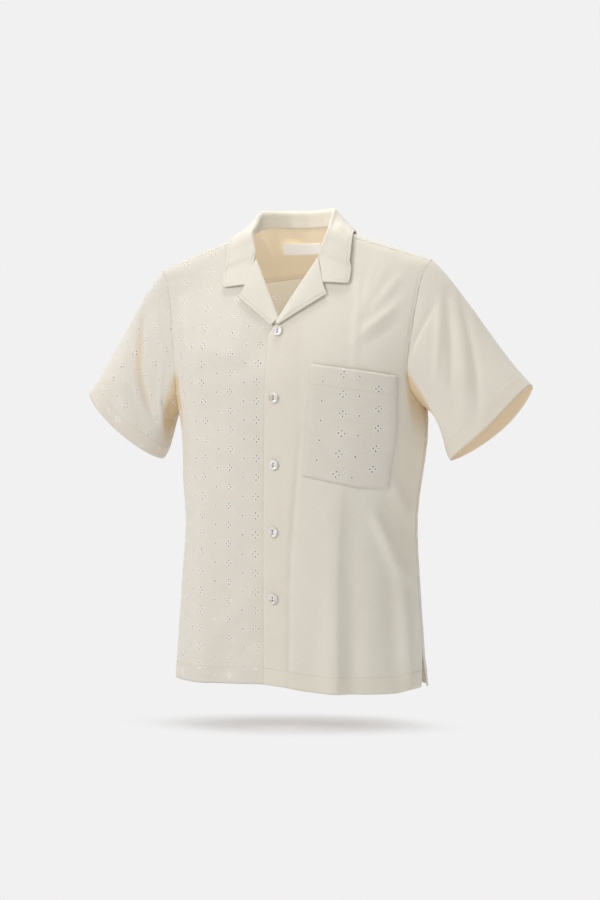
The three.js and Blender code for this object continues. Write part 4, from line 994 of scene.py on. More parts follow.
def ramp(tree, value, low, high, first=0.0, last=1.0):
    """A Map Range node's value: first at low, last at high, and smooth between."""
    inputs = {"Value": value, "From Min": low, "From Max": high, "To Min": first, "To Max": last}
    return node(tree, "ShaderNodeMapRange", inputs, interpolation_type="SMOOTHSTEP").outputs[0]


def use_group(tree, name, **values):
    """A node that uses a group of nodes."""
    return node(tree, "ShaderNodeGroup", values, node_tree=bpy.data.node_groups[name])


def new_material(name, **values):
    """A material's nodes, and its shader with constants set on the shader's own sockets."""
    made = bpy.data.materials.new(name)
    made.use_nodes = True
    shader = made.node_tree.nodes["Principled BSDF"]
    for key, value in values.items():
        shader.inputs[key.replace("_", " ")].default_value = value
    return made.node_tree, shader


def weave_group():
    """Plain weave with slubs: warp and weft waves that pass over each other, thick and thin
    threads as noise stretched along each way, and slow clouds of tone. Lengths in metres."""
    tree, ins, outs = group(
        "Weave",
        [("Pitch", "NodeSocketFloat", 0.0006), ("Slub", "NodeSocketFloat", 0.5)],
        [("Height", "NodeSocketFloat"), ("Tone", "NodeSocketFloat"), ("Cloud", "NodeSocketFloat")],
    )
    uv = node(tree, "ShaderNodeUVMap", uv_map="cloth").outputs[0]
    xyz = node(tree, "ShaderNodeSeparateXYZ", {0: uv})
    turn = maths(tree, "DIVIDE", 6.28318, ins.outputs["Pitch"])
    warp = maths(tree, "SINE", maths(tree, "MULTIPLY", xyz.outputs[0], turn))
    weft = maths(tree, "SINE", maths(tree, "MULTIPLY", xyz.outputs[1], turn))
    cross = maths(tree, "MULTIPLY", warp, weft)
    along_warp = node(tree, "ShaderNodeMapping", {"Vector": uv, "Scale": (1500, 70, 1)})
    along_weft = node(tree, "ShaderNodeMapping", {"Vector": uv, "Scale": (60, 1300, 1)})
    threads = [noise(tree, m.outputs[0], 1.0, 2.0) for m in (along_warp, along_weft)]
    slub = maths(tree, "SUBTRACT", maths(tree, "ADD", *threads), 1.0)
    slub = maths(tree, "MULTIPLY", slub, ins.outputs["Slub"])
    fine = noise(tree, uv, 420.0, 3.0)
    cloud = noise(tree, uv, 24.0, 3.0)
    height = maths(tree, "ADD", maths(tree, "MULTIPLY", cross, 0.3), slub)
    height = maths(tree, "ADD", height, maths(tree, "MULTIPLY", fine, 0.5))
    tone = maths(tree, "ADD", slub, maths(tree, "SUBTRACT", fine, 0.5))
    tree.links.new(height, outs.inputs["Height"])
    tree.links.new(tone, outs.inputs["Tone"])
    tree.links.new(cloud, outs.inputs["Cloud"])
    return tree


EULER = 2.718


def stitch_group():
    """The dent of a stitched line: exp(-(rim / width)^2), with small puckers along it. Shade is the
    bell itself, which darkens the cloth's colour as painted shade in the dent.
    """
    tree, ins, outs = group(
        "Stitched line",
        [("Width", "NodeSocketFloat", 0.9)],
        [("Dent", "NodeSocketFloat"), ("Shade", "NodeSocketFloat")],
    )
    share = maths(tree, "DIVIDE", attribute(tree, "rim"), ins.outputs["Width"])
    square = maths(tree, "MULTIPLY", share, share)
    bell = maths(tree, "POWER", EULER, maths(tree, "MULTIPLY", square, -1.0))
    wide = maths(tree, "POWER", EULER, maths(tree, "MULTIPLY", square, -0.06))
    pucker = noise(tree, node(tree, "ShaderNodeUVMap", uv_map="cloth").outputs[0], 190.0, 1.0)
    dent = maths(tree, "MULTIPLY", bell, -1.0)
    dent = maths(tree, "ADD", dent, maths(tree, "MULTIPLY", wide, maths(tree, "MULTIPLY", pucker, 0.9)))
    tree.links.new(dent, outs.inputs["Dent"])
    tree.links.new(bell, outs.inputs["Shade"])
    return tree


def glow_group():
    """Light inside the garment: all of it above 90 mm below the neck point, a third of it in the left
    sleeve, and none in the rest. Shade is what is left of 0.65, and fades out at the hem."""
    tree, ins, outs = group(
        "Light inside", [("Most", "NodeSocketFloat", 0.2)],
        [("Strength", "NodeSocketFloat"), ("Shade", "NodeSocketFloat")])
    place = node(tree, "ShaderNodeTexCoord").outputs["Object"]
    x, _, z = node(tree, "ShaderNodeSeparateXYZ", {0: place}).outputs
    sleeve = maths(tree, "MULTIPLY", 0.35, ramp(tree, x, 0.22, 0.27))
    light = maths(tree, "MAXIMUM", ramp(tree, z, -0.19, -0.09), sleeve)
    left = maths(tree, "SUBTRACT", 0.65, light, clamp=True)
    shade = maths(tree, "MULTIPLY", left, ramp(tree, z, -0.69, -0.64))
    tree.links.new(maths(tree, "MULTIPLY", light, ins.outputs["Most"]), outs.inputs["Strength"])
    tree.links.new(shade, outs.inputs["Shade"])
    return tree


def cloth_material(name, colour, deep, pitch, slub, sheen, roughness=0.86, glow=0.0, shaded=False):
    """Woven cloth: two tones mixed by the slubs, painted shade in stitched lines, weave bump and sheen.
    Then painted warm light and painted shade are laid over it by attributes. An inner side glows with
    painted light by the group of nodes instead of the attribute, and takes its painted shade from there if it
    is shaded."""
    tree, shader = new_material(
        name, Roughness=roughness, Sheen_Weight=sheen, Sheen_Roughness=0.5, Specular_IOR_Level=0.25,
        Emission_Color=(*colour, 1))
    inside = use_group(tree, "Light inside", Most=glow) if glow else None
    strength = inside.outputs["Strength"] if inside else attribute(tree, "lit")
    tree.links.new(strength, shader.inputs["Emission Strength"])
    weave = use_group(tree, "Weave", Pitch=pitch, Slub=slub)
    line = use_group(tree, "Stitched line")
    share = maths(tree, "MULTIPLY_ADD", weave.outputs["Tone"], 0.9, 0.42, clamp=True)
    cloud = maths(tree, "MULTIPLY", maths(tree, "SUBTRACT", weave.outputs["Cloud"], 0.5), 0.5)
    share = maths(tree, "ADD", share, cloud, clamp=True)
    share = maths(tree, "ADD", share, maths(tree, "MULTIPLY", line.outputs["Shade"], 0.35), clamp=True)
    tint = blend(tree, share, (*colour, 1), (*deep, 1))
    tint = blend(tree, attribute(tree, "warm"), tint, (*colours().warm, 1))
    dark = inside.outputs["Shade"] if shaded else attribute(tree, "dark")
    tint = blend(tree, dark, tint, (*colours().shade, 1))
    tree.links.new(tint, shader.inputs["Base Color"])
    height = maths(tree, "ADD", maths(tree, "MULTIPLY", weave.outputs["Height"], 0.35), line.outputs["Dent"])
    bump = node(tree, "ShaderNodeBump", {"Height": height, "Strength": 0.55, "Distance": 0.00035})
    tree.links.new(bump.outputs[0], shader.inputs["Normal"])


def simple_material(name, colour, deep, scale, roughness, coat=0.0, bump=0.0003, sheen=0.0):
    """A colour that drifts to a second one in soft clouds, with a fine bump."""
    tree, shader = new_material(name, Roughness=roughness, Coat_Weight=coat, Sheen_Weight=sheen)
    place = node(tree, "ShaderNodeTexCoord").outputs["Object"]
    cloud = noise(tree, place, scale, 3.0, Distortion=0.8)
    share = maths(tree, "MULTIPLY_ADD", cloud, 2.4, -0.7, clamp=True)
    tree.links.new(blend(tree, share, (*colour, 1), (*deep, 1)), shader.inputs["Base Color"])
    relief = node(tree, "ShaderNodeBump", {"Height": cloud, "Strength": 0.4, "Distance": bump})
    tree.links.new(relief.outputs[0], shader.inputs["Normal"])


def material(name):
    return bpy.data.materials[name]


# ---------------------------------------------------------------- properties
def length_setting(name, description, default, low, high):
    """A length in millimetres that can be changed."""
    return bpy.props.FloatProperty(
        name=name, description=description + ", in millimetres", default=default, min=low, max=high)


def colour_setting(name, description, default):
    """A colour that can be changed."""
    return bpy.props.FloatVectorProperty(
        name=name, description=description, subtype="COLOR", size=3, default=default, min=0, max=1)


class ShirtSizes(bpy.types.PropertyGroup):
    """Sizes that can be changed without cutting new panels."""

    cloth: length_setting("Cloth", "Thickness of a single layer of cloth", 0.9, 0.3, 2)
    stitch: length_setting("Stitch", "Length of one stitch and the gap after it", 3.0, 2, 6)
    topstitch: length_setting("Topstitch", "Distance of a topstitch from its edge", 5.5, 2, 10)
    hole: length_setting("Eyelet", "Radius of an eyelet's hole", HOLE_RADIUS, 0.6, 1.5)
    button: length_setting("Button", "Radius of a button", 8.0, 5, 9)


class ShirtColours(bpy.types.PropertyGroup):
    """Colours of the cloths, the sewing and the trim."""

    plain: colour_setting("Plain cloth", "Lighter tone of the plain cloth", (0.81, 0.775, 0.69))
    plain_deep: colour_setting("Plain cloth, deep", "Darker tone of the plain cloth", (0.72, 0.675, 0.58))
    eyelet: colour_setting("Eyelet cloth", "Lighter tone of the eyelet cloth", (0.77, 0.73, 0.655))
    eyelet_deep: colour_setting("Eyelet cloth, deep", "Darker tone of the eyelet cloth", (0.68, 0.635, 0.56))
    inside: colour_setting("Inside", "Inner side of the cloths, warmed by light", (0.82, 0.70, 0.52))
    lining: colour_setting("Inside, eyelet", "Inner side of the eyelet cloth", (0.76, 0.70, 0.58))
    warm: colour_setting("Warm", "The cloth where light comes through it", (0.66, 0.48, 0.25))
    # Painted shade: laid on the cloth behind the pocket, low inside the eyelet cloth, along the yoke's back
    # seam and on the discs in the buttons' holes.
    shade: colour_setting("Shade", "What is seen through holes", (0.28, 0.16, 0.07))
    thread: colour_setting("Thread", "Embroidery and sewing thread", (0.90, 0.872, 0.81))
    label: colour_setting("Label", "Woven label inside the neck", (0.80, 0.79, 0.77))
    pearl: colour_setting("Pearl", "Lighter tone of the pearl buttons", (0.92, 0.96, 1.0))
    pearl_deep: colour_setting("Pearl, deep", "Darker tone of the pearl buttons", (0.62, 0.52, 0.42))


CLOTHS = {}
SEWING = []


def rows_of(low, high, line, step):
    """Regular rows, with two more close to a stitched line."""
    rows = np.concatenate([np.arange(low, high + step, step), [line - 0.7, line + 0.7]])
    return np.unique(np.round(rows, 4))


def pocket_shade(x, z):
    """1 on the cloth behind the pocket, 0 from 6 mm inside its edges outwards."""
    reach = np.full(np.shape(x), FAR)
    for (x0, z0), (x1, z1) in zip(POCKET_EDGE, POCKET_EDGE[1:] + POCKET_EDGE[:1]):
        dx, dz = x1 - x0, z1 - z0
        reach = np.minimum(reach, (dx * (z - z0) - dz * (x - x0)) / math.hypot(dx, dz))
    return smooth((reach - 6) / 5)


def cut_cloth(name, cloth, grid, columns, rows, holes, hem):
    """An object on a cloth, of plain cloth or, where it has holes, of eyelet cloth. The holes of its
    hem are left blind. Gives the object and the places of all its holes."""
    a, b = grid
    kind = "Eyelet cloth" if len(holes) else "Plain cloth"
    holes = panel_faces(a, b, columns, rows, holes, sizes().hole)[4]
    cut = holes[holes[:, 1] > hem]
    quads, tris, ring_a, ring_b, _ = panel_faces(a, b, columns, rows, cut, sizes().hole)
    a, b = np.concatenate([a.ravel(), ring_a]), np.concatenate([b.ravel(), ring_b])
    p, n = cloth.points(a, b)
    ob = make_object(name, p, quads, tris, kind, kind.lower().replace(" ", "_"), np.stack([a, b], -1),
                     cloth.rim(a, b), n, weld=True, warm=cloth.warmth(a, b), dark=cloth.dark(a, b))
    return thicken(ob, sizes().cloth, kind + ", inside"), holes


def body_panel(name, cloth, node_name, eyelets):
    """One panel of the body on its cloth, with its embroidery if it is an eyelet panel."""
    cell = CELL if eyelets else PLAIN_CELL
    reach = 320 if cloth.back else 30
    low = FLOWER_S - cell[0] * (0.5 + math.ceil((FLOWER_S + reach) / cell[0]))
    columns = np.arange(low, 330, cell[0])
    rows = rows_of(HEM_Z, 30, HEM_Z + (HEM_ROWS * cell[1] if eyelets else HEM_LINE), cell[1])
    holes = NO_HOLES
    if eyelets:
        holes = hole_places(columns, rows, (FLOWER_S, HEM_Z + FLOWER_ROW * cell[1]))
        holes = holes[holes[:, 1] > HEM_Z + 4]
    grid = clamped_grid(cloth, columns, rows)
    ob, holes = cut_cloth(name, cloth, grid, columns, rows, holes, HEM_Z + HEM_LINE)
    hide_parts(node_name)
    if eyelets:
        s, z = holes.T
        shapes = embroidery(holes, sizes().hole, cloth.low(z), cloth.high(z), cloth.top(cloth.x(s, z)))
        thread(name, cloth.points, sizes().cloth / 2 - 0.05, shapes, cloth.mirror)


def thread(name, points, lift, shapes, mirror=False):
    """The embroidery of a panel as one object, on the surface that points gives."""
    parts = []
    for places, rise, quads in shapes:
        p = points(places[:, 0], places[:, 1], rise + lift)[0]
        parts.append((p, quads[:, ::-1] if mirror else quads, NO_TRIS))
    make_object(name + "_embroidery", *joined(parts), "Embroidery", "eyelet_cloth")


def sew(line, way, lift=0.0):
    """Adds a line of stitches along a curve, lifted off it."""
    SEWING.append(stitches(line + way * lift, way, sizes().stitch))


def sew_cloth(cloth, a, b):
    """Adds a line of stitches at places of a cloth."""
    sew(*cloth.points(a, b, sizes().cloth / 2))


# ---------------------------------------------------------------- operators
class SHIRT_OT_materials(bpy.types.Operator):
    """Make the node groups and materials"""

    bl_idname = "shirt.materials"
    bl_label = "Materials"

    def execute(self, context):
        weave_group()
        stitch_group()
        glow_group()
        c = colours()

        def deeper(tone, share):
            return tuple(share * v for v in tone)

        cloth_material("Plain cloth", c.plain, c.plain_deep, 0.0006, 0.5, 0.25)
        cloth_material("Eyelet cloth", c.eyelet, c.eyelet_deep, 0.0005, 0.35, 0.2, 0.9)
        # The inner sides and the label glow with painted light from inside the garment, by the group Light
        # inside; the eyelet cloth's inner side also takes its painted shade from there.
        cloth_material("Plain cloth, inside", c.inside, deeper(c.inside, 0.9), 0.0006, 0.5, 0.1, 0.9, 0.36)
        cloth_material("Eyelet cloth, inside", c.lining, deeper(c.lining, 0.88), 0.0005, 0.3, 0.1, 0.9, 0.42,
                       shaded=True)
        cloth_material("Label cloth", c.label, deeper(c.label, 0.9), 0.0003, 0.2, 0.1, 0.6, 0.5)
        simple_material("Embroidery", c.thread, deeper(c.thread, 0.88), 900, 0.55, sheen=0.3)
        simple_material("Sewing thread", c.thread, deeper(c.thread, 0.85), 700, 0.6, sheen=0.2)
        simple_material("Thread in shade", c.shade, deeper(c.shade, 0.7), 700, 0.8)
        simple_material("Pearl", c.pearl, c.pearl_deep, 130, 0.2, coat=0.6, bump=0.0001)
        return {"FINISHED"}


class SHIRT_OT_fronts(bpy.types.Operator):
    """Make the two fronts: the left one plain, the right one of eyelet cloth"""

    bl_idname = "shirt.fronts"
    bl_label = "Fronts"

    def execute(self, context):
        left = BodyCloth(False, FRONT_LEFT_FOLDS, FRONT_LEFT_CREASES, seed=3, step_at=(44.0, 27.0))
        right = BodyCloth(False, FRONT_RIGHT_FOLDS, mirror=True, sunk=True, seed=8)
        CLOTHS.update(left=left, right=right)
        body_panel("Front_left", left, "front_left", False)
        body_panel("Front_right", right, "front_right", True)
        for cloth in (left, right):
            self.seams(cloth)
        return {"FINISHED"}

    def seams(self, cloth):
        """Stitches of hem, armhole and vent."""
        z = np.full(160, HEM_Z + HEM_LINE)
        sew_cloth(cloth, np.linspace(cloth.low(z[0]) + 1, cloth.high(z[0]) - 1, 160), z)
        if not cloth.mirror:
            z = np.linspace(UNDERARM_Z + 4, -42, 120)
            sew_cloth(cloth, cloth.high(z) - sizes().topstitch, z)
        z = np.linspace(HEM_Z + 2, HEM_Z + VENT_HEIGHT, 30)
        sew_cloth(cloth, cloth.high(z) - sizes().topstitch, z)


class SHIRT_OT_back(bpy.types.Operator):
    """Make the back of eyelet cloth"""

    bl_idname = "shirt.back"
    bl_label = "Back"

    def execute(self, context):
        cloth = BodyCloth(True, BACK_FOLDS, seed=12)
        body_panel("Back", cloth, "back", True)
        z = np.full(300, HEM_Z + HEM_LINE)
        sew_cloth(cloth, np.linspace(cloth.low(z[0]) + 1, cloth.high(z[0]) - 1, 300), z)
        z = np.linspace(UNDERARM_Z + 4, -90, 120)
        sew_cloth(cloth, cloth.high(z) - sizes().topstitch, z)
        sew_cloth(cloth, cloth.low(z) + sizes().topstitch, z)
        return {"FINISHED"}


class SHIRT_OT_yoke(bpy.types.Operator):
    """Make the yoke, which goes over both shoulders in one piece"""

    bl_idname = "shirt.yoke"
    bl_label = "Yoke"

    def execute(self, context):
        c, t = np.meshgrid(np.linspace(-YOKE_COLUMNS, YOKE_COLUMNS, 161), np.linspace(0, 1, 41))
        p = yoke_point(np.abs(c), t)
        p[..., 0] *= np.sign(c)
        n = grid_normals(p)
        if n[20, 80, 1] < 0:
            n = -n
        down = running(p)
        up = down[-1:] - down
        front = np.where(np.abs(c) > NECK_COLUMNS, down - EDGE_LINE, CLEAR)
        rim = nearest([up - EDGE_LINE, front, 266 - np.abs(p[..., 0])])
        # Painted shade: within 9 mm of the back seam, where the yoke faces backwards, its colour is darkened
        # on both sides.
        seam = 0.2 * smooth((9 - up) / 1.5) * (n[..., 1] > 0.2)
        ob = make_object("Yoke", p, grid_quads(*c.shape), NO_TRIS, "Plain cloth", "plain_cloth",
                         np.stack([p[..., 0], down], -1), rim, n, dark=seam)
        thicken(ob, sizes().cloth * 1.3, "Plain cloth, inside")
        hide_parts("yoke")
        p, n = p.transpose(1, 0, 2), n.transpose(1, 0, 2)
        sew(*near_edge(p, n, sizes().topstitch), 0.6)
        for front in (slice(0, 61), slice(100, 161)):
            sew(*near_edge(p[front], n[front], sizes().topstitch, end=0), 0.6)
        return {"FINISHED"}


class SHIRT_OT_sleeves(bpy.types.Operator):
    """Make the sleeves: the left one plain, the right one of eyelet cloth"""

    bl_idname = "shirt.sleeves"
    bl_label = "Sleeves"

    def execute(self, context):
        left = SleeveCloth(CUFF_LEFT, SLEEVE_LEFT_FOLDS, SLEEVE_LEFT_CREASES, 0.05, seed=21)
        right = SleeveCloth(CUFF_RIGHT, SLEEVE_RIGHT_FOLDS, SLEEVE_RIGHT_CREASES, 0.4, mirror=True, seed=22)
        self.sleeve("Sleeve_left", "sleeve_left", left, False)
        self.sleeve("Sleeve_right", "sleeve_right", right, True)
        return {"FINISHED"}

    def sleeve(self, name, node_name, cloth, eyelets):
        """One sleeve, with its embroidery if it is of eyelet cloth."""
        cell = CELL if eyelets else PLAIN_CELL
        first, last = cloth.c[0], cloth.c[-1]
        inner = np.arange(cell[0] * (math.floor(first / cell[0]) + 0.5), last, cell[0])
        inner = inner[(inner > first + 0.5) & (inner < last - 0.5)]
        columns = np.concatenate([[first], inner, [last]])
        rows = rows_of(0, cloth.reach.max() + cell[1], HEM_ROWS * cell[1] if eyelets else SLEEVE_HEM, cell[1])
        holes = NO_HOLES
        if eyelets:
            holes = hole_places(columns, rows, (0.0, SLEEVE_FLOWER_ROW * cell[1]))
            holes = holes[holes[:, 1] > 4]
        grid = sleeve_grid(cloth, columns, rows)
        ob, holes = cut_cloth(name, cloth, grid, columns, rows, holes, SLEEVE_HEM)
        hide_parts(node_name)
        if eyelets:
            shapes = embroidery(holes, sizes().hole, first, last, cloth.top(holes[:, 0]))
            thread(name, cloth.points, sizes().cloth / 2 - 0.05, shapes, cloth.mirror)
        sew_cloth(cloth, np.linspace(first, last, 240), np.full(240, SLEEVE_HEM))


class SHIRT_OT_collar(bpy.types.Operator):
    """Make the collar: a low stand that rolls over into leaves that lie on the fronts"""

    bl_idname = "shirt.collar"
    bl_label = "Collar"

    def execute(self, context):
        left = np.array(COLLAR, float)
        whole = np.concatenate([left[:0:-1] * (-1, 1, 1), left])
        around = even([5] * (len(whole) - 1))
        p = spline(whole, around)
        p = spline(p.transpose(1, 0, 2), even([4, 4, 4, 4, 8, 8, 8])).transpose(1, 0, 2)
        n = grid_normals(p)
        if n[85, -2, 1] < 0:
            n = -n
        run = running(p, 1)
        to_edge = run[:, -1:] - run
        far = running(p[:, 20])[:, None] + 0 * run
        to_end = np.minimum(far, far[-1:] - far)
        row = np.arange(len(p))[:, None, None]
        outward = unit(p[:, -1:] - p[:, -2:-1])
        inward = np.where(row < 80, unit(p[1] - p[0])[None], 0)
        inward = inward + np.where(row > 90, unit(p[-2] - p[-1])[None], 0)
        corner = np.clip(1 - to_edge / 7, 0, 1) * np.clip(1 - to_end / 7, 0, 1)
        p = p + (inward - outward) * (2.0 * corner**1.5)[..., None]
        waves = 0.5 * ripple(far, run, 31) * smooth(run / 60) * smooth(to_end / 30)
        p = p + n * waves[..., None]
        rim = nearest([to_edge - EDGE_LINE, np.where(run > 30, to_end - EDGE_LINE, CLEAR)])
        # Painted warm light and painted glow on the stand, fading out towards the front.
        inner = smooth((16 - np.arange(p.shape[1])) / 5)[None] * smooth((p[..., 1] + 5) / 30)
        ob = make_object("Collar", p, grid_quads(*p.shape[:2]), NO_TRIS, "Plain cloth", "plain_cloth",
                         np.stack([far, run], -1), rim, n, warm=0.12 * inner, lit=0.2 * inner)
        thicken(ob, 1.7)
        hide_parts("collar")
        sew(*near_edge(p[4:-4], n[4:-4], sizes().topstitch), 0.9)
        for rows, end in ((slice(0, 12), 0), (slice(-12, None), -1)):
            ends = (grid[rows, 24:-3].transpose(1, 0, 2) for grid in (p, n))
            sew(*near_edge(*ends, sizes().topstitch, end=end), 0.9)
        return {"FINISHED"}


class SHIRT_OT_facings(bpy.types.Operator):
    """Make the facings, which go round the edges of the fronts and turn out as lapels"""

    bl_idname = "shirt.facings"
    bl_label = "Facings"

    def execute(self, context):
        self.facing("Facing_left", "facing_left", CLOTHS["left"], 0.045, (3.5, -144.5))
        self.facing("Facing_right", "facing_right", CLOTHS["right"], 0.12, (12.0, -144.0))
        return {"FINISHED"}

    def facing(self, name, node_name, cloth, start, outer):
        """One facing. Across it goes from inside the front round its edge like a U and out to the
        lapel's edge, and up it goes from the start to the notch."""
        tip = (free_edge(TIP_LEVEL, 40.0, 20) - BREAK_FOOT[0]) / (BREAK_HEAD[0] - BREAK_FOOT[0])
        share = np.concatenate([np.linspace(start, tip, 44), np.linspace(tip, 0.99, 16)[1:]])
        brk = mix(np.array(BREAK_FOOT), np.array(BREAK_HEAD), share[:, None])
        up = ((share - start) / (tip - start))[:, None]
        over = ((share - tip) / (1 - tip))[:, None]
        outer, point, notch = np.array(outer), np.array(LAPEL_TIP), np.array(LAPEL_NOTCH)
        edge = np.where(share[:, None] <= tip, mix(outer, point, up), mix(point, notch, over))
        wide = np.linalg.norm(edge - brk, axis=1, keepdims=True)
        way = (edge - brk) / wide
        part, more, rise = np.array(FACING, float).T[..., None]
        across = part * wide.T + more
        profile = spline(np.stack([across, rise + 0 * across], -1), even([3, 4, 4, 4, 4, 6, 6, 8]))
        d, lift = profile[..., 0].T, profile[..., 1].T
        place = brk[:, None] + way[:, None] * d[..., None]
        p = cloth.at_x(place[..., 0], place[..., 1], lift)[0]
        n = grid_normals(p)
        if (n[30, -3] * cloth.at_x(place[30, -3, 0], place[30, -3, 1])[1]).sum() < 0:
            n = -n
        run = running(p, 1)
        rim = np.where(run > 16, run[:, -1:] - run - EDGE_LINE, CLEAR)
        places = np.stack([run, share[:, None] * 125 + 0 * run], -1)
        ob = make_object(name, p, grid_quads(*p.shape[:2]), NO_TRIS, "Plain cloth", "plain_cloth",
                         places, rim, n)
        thicken(ob, 1.3)
        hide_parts(node_name)
        sew(*near_edge(p[6:], n[6:], sizes().topstitch), 0.7)


class SHIRT_OT_pocket(bpy.types.Operator):
    """Make the patch pocket of eyelet cloth on the left front"""

    bl_idname = "shirt.pocket"
    bl_label = "Pocket"

    def execute(self, context):
        width, tall = math.dist(*POCKET["foot"]), math.dist(POCKET["foot"][0], POCKET["top"][0])
        cell = (width / POCKET_CELLS[0], tall / POCKET_CELLS[1])
        columns, rows = (np.arange(count + 1) * size for count, size in zip(POCKET_CELLS, cell))
        a, b = np.meshgrid(columns, rows)
        holes = hole_places(columns, rows, (POCKET_FLOWER[0] * cell[0], POCKET_FLOWER[1] * cell[1]), cell)
        holes = holes[(holes[:, 1] > 4) & (holes[:, 1] < tall - 2)]
        quads, tris, ring_a, ring_b, holes = panel_faces(a, b, columns, rows, holes, sizes().hole)
        a, b = np.concatenate([a.ravel(), ring_a]), np.concatenate([b.ravel(), ring_b])

        def points(a, b, lift=0.0):
            return self.points(a, b, width, tall, lift)

        p, n = points(a, b)
        edge = np.minimum(np.minimum(a, width - a), b) - POCKET_STITCH
        fold = tall - POCKET_FOLD - b
        rim = np.where(np.abs(fold) < np.abs(edge), fold, edge)
        ob = make_object("Pocket", p, quads, tris, "Eyelet cloth", "eyelet_cloth",
                         np.stack([a, b], -1), rim, n)
        thicken(ob, 1.2, "Eyelet cloth, inside")
        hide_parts("pocket")
        thread("Pocket", points, 0.55, embroidery(holes, sizes().hole, 0, width, tall))
        t = np.linspace(0, 1, 120)
        level = 0 * t
        across = POCKET_STITCH + (width - 2 * POCKET_STITCH) * t
        for a, b in ((level + POCKET_STITCH, tall * t), (level + width - POCKET_STITCH, tall * t),
                     (across, level + POCKET_STITCH), (across, level + tall - POCKET_FOLD)):
            sew(*points(a, b, 0.6))
        return {"FINISHED"}

    def points(self, a, b, width, tall, lift):
        """Places of the pocket on the left front: low at its sewn edges, gaping a little at the mouth."""
        foot, top = np.array(POCKET["foot"], float), np.array(POCKET["top"], float)
        s, t = a / width, b / tall
        place = mix(mix(foot[0], foot[1], s[..., None]), mix(top[0], top[1], s[..., None]), t[..., None])
        sag = 5.8 * np.where(s < 0.69, s / 0.69, (1 - s) / 0.31) * (1 - smooth(t / 0.5))
        edge = np.minimum(np.minimum(a, width - a), b)
        rise = 1.5 + 1.3 * smooth(edge / 9) + 2.2 * np.sin(math.pi * s) * smooth((t - 0.6) / 0.4)
        rise = rise + 0.4 * smooth((b - tall + POCKET_FOLD) / LAYER_FADE)
        return CLOTHS["left"].at_x(place[..., 0], place[..., 1] - sag, rise + lift)


class SHIRT_OT_label(bpy.types.Operator):
    """Make the blank woven label inside the back of the neck"""

    bl_idname = "shirt.label"
    bl_label = "Label"

    def execute(self, context):
        (first, last), (high, _) = LABEL["x"], LABEL["down"]
        x, down = np.meshgrid(np.linspace(*LABEL["x"], 45), np.linspace(*LABEL["down"], 13))
        column = np.abs(x) / LABEL["neck"] * NECK_COLUMNS
        t = np.full(x.shape, 0.3)
        for _ in range(20):
            t = t + (yoke_point(column, t)[..., 2] + 7 + down) / 150
        p = yoke_point(column, t)
        n = normal_of(yoke_point, column, t)
        n = n * np.sign(n[..., 1:2])
        p = p - n * (1.9 + 0.3 * np.sin(math.pi * (x - first) / (last - first)))[..., None]
        p[..., 0] = x - 0.35 * (down - high)
        rim = np.minimum(x - first, last - x) - 1.5
        ob = make_object("Label", p, grid_quads(*x.shape), NO_TRIS, "Label cloth", "label_cloth",
                         np.stack([x, down], -1), rim, -n)
        thicken(ob, 0.5)
        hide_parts("label")
        return {"FINISHED"}


class SHIRT_OT_buttons(bpy.types.Operator):
    """Make the five pearl buttons with two holes and their thread"""

    bl_idname = "shirt.buttons"
    bl_label = "Buttons"

    def execute(self, context):
        for k in range(BUTTON_COUNT):
            z = np.array([BUTTON_TOP_Z - k * BUTTON_STEP])
            seat, n = CLOTHS["left"].at_x(np.array([BUTTON_X]), z, 1.0)
            self.button(k + 1, seat[0], n[0])
        return {"FINISHED"}

    def button(self, number, seat, n):
        """A turned disc: rings of a radius and a height, with a sheet with two holes in its dish, and
        a disc of thread under each hole, in the colour of the painted shade so that the holes look dark."""
        radius = sizes().button
        across = unit(np.cross(n, (0, 0, 1.0)))
        ways = np.stack([across, np.cross(across, n), n])
        back, front = DISH_FACES
        rings = ((DISH, back), (radius - 0.9, back), (radius - 0.3, 0.6), (radius, 1.2), (radius - 0.35, 2.0),
                 (radius - 1.0, 2.4), (radius - 1.9, 2.25), (radius - 2.6, 1.85), (DISH, front))
        side = np.concatenate([at_height(ring(r, 36), h) for r, h in rings])
        parts = [(side, grid_quads(len(rings), 36, True), NO_TRIS)]
        parts += [self.plate(front, False), self.plate(back, True)]
        discs = []
        for off in (-HOLE_OFF, HOLE_OFF):
            wall = np.concatenate([at_height(ring(HOLE, 12, 0, off), h) for h in DISH_FACES])
            parts.append((wall, grid_quads(2, 12, True)[:, ::-1], NO_TRIS))
            disc = np.concatenate([at_height(ring(HOLE + 0.1, 12, 0, off), 0.9), [(0, off, 1.0)]])
            discs.append((disc, NO_QUADS, np.array([(12, i, (i + 1) % 12) for i in range(12)])))
        p, quads, tris = joined(parts)
        ob = make_object(f"Button_{number}", seat + p @ ways, quads, tris, "Pearl", "pearl", weld=True)
        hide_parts(f"button_{number}")
        p, quads, tris = joined(discs)
        make_object(f"Button_thread_shade_{number}", seat + p @ ways, quads, tris, "Thread in shade", "plain_cloth")

    def plate(self, height, flip):
        """The part inside the dish: a disc cut by two round holes."""
        loops = [ring(DISH, 36), ring(HOLE, 12, 0, -HOLE_OFF), ring(HOLE, 12, 0, HOLE_OFF)]
        edges, base = [], 0
        for loop in loops:
            edges += [(base + i, base + (i + 1) % len(loop)) for i in range(len(loop))]
            base += len(loop)
        flat = [Vector(v) for v in np.concatenate(loops).tolist()]
        found, _, faces = delaunay_2d_cdt(flat, edges, [], 0, 1e-6)[:3]
        p = np.array([(v[0], v[1], height) for v in found])
        tris = np.array([list(f) for f in faces])
        middle = p[tris].mean(1)
        tris = tris[np.hypot(middle[:, 0], np.abs(middle[:, 1]) - HOLE_OFF) > HOLE - 0.08]
        return p, NO_QUADS, tris[:, ::-1] if flip else tris


class SHIRT_OT_sewing(bpy.types.Operator):
    """Make all topstitching as one piece"""

    bl_idname = "shirt.sewing"
    bl_label = "Sewing"

    def execute(self, context):
        p, quads, tris = joined(SEWING)
        make_object("Topstitching", p, quads, tris, "Sewing thread", "plain_cloth")
        return {"FINISHED"}


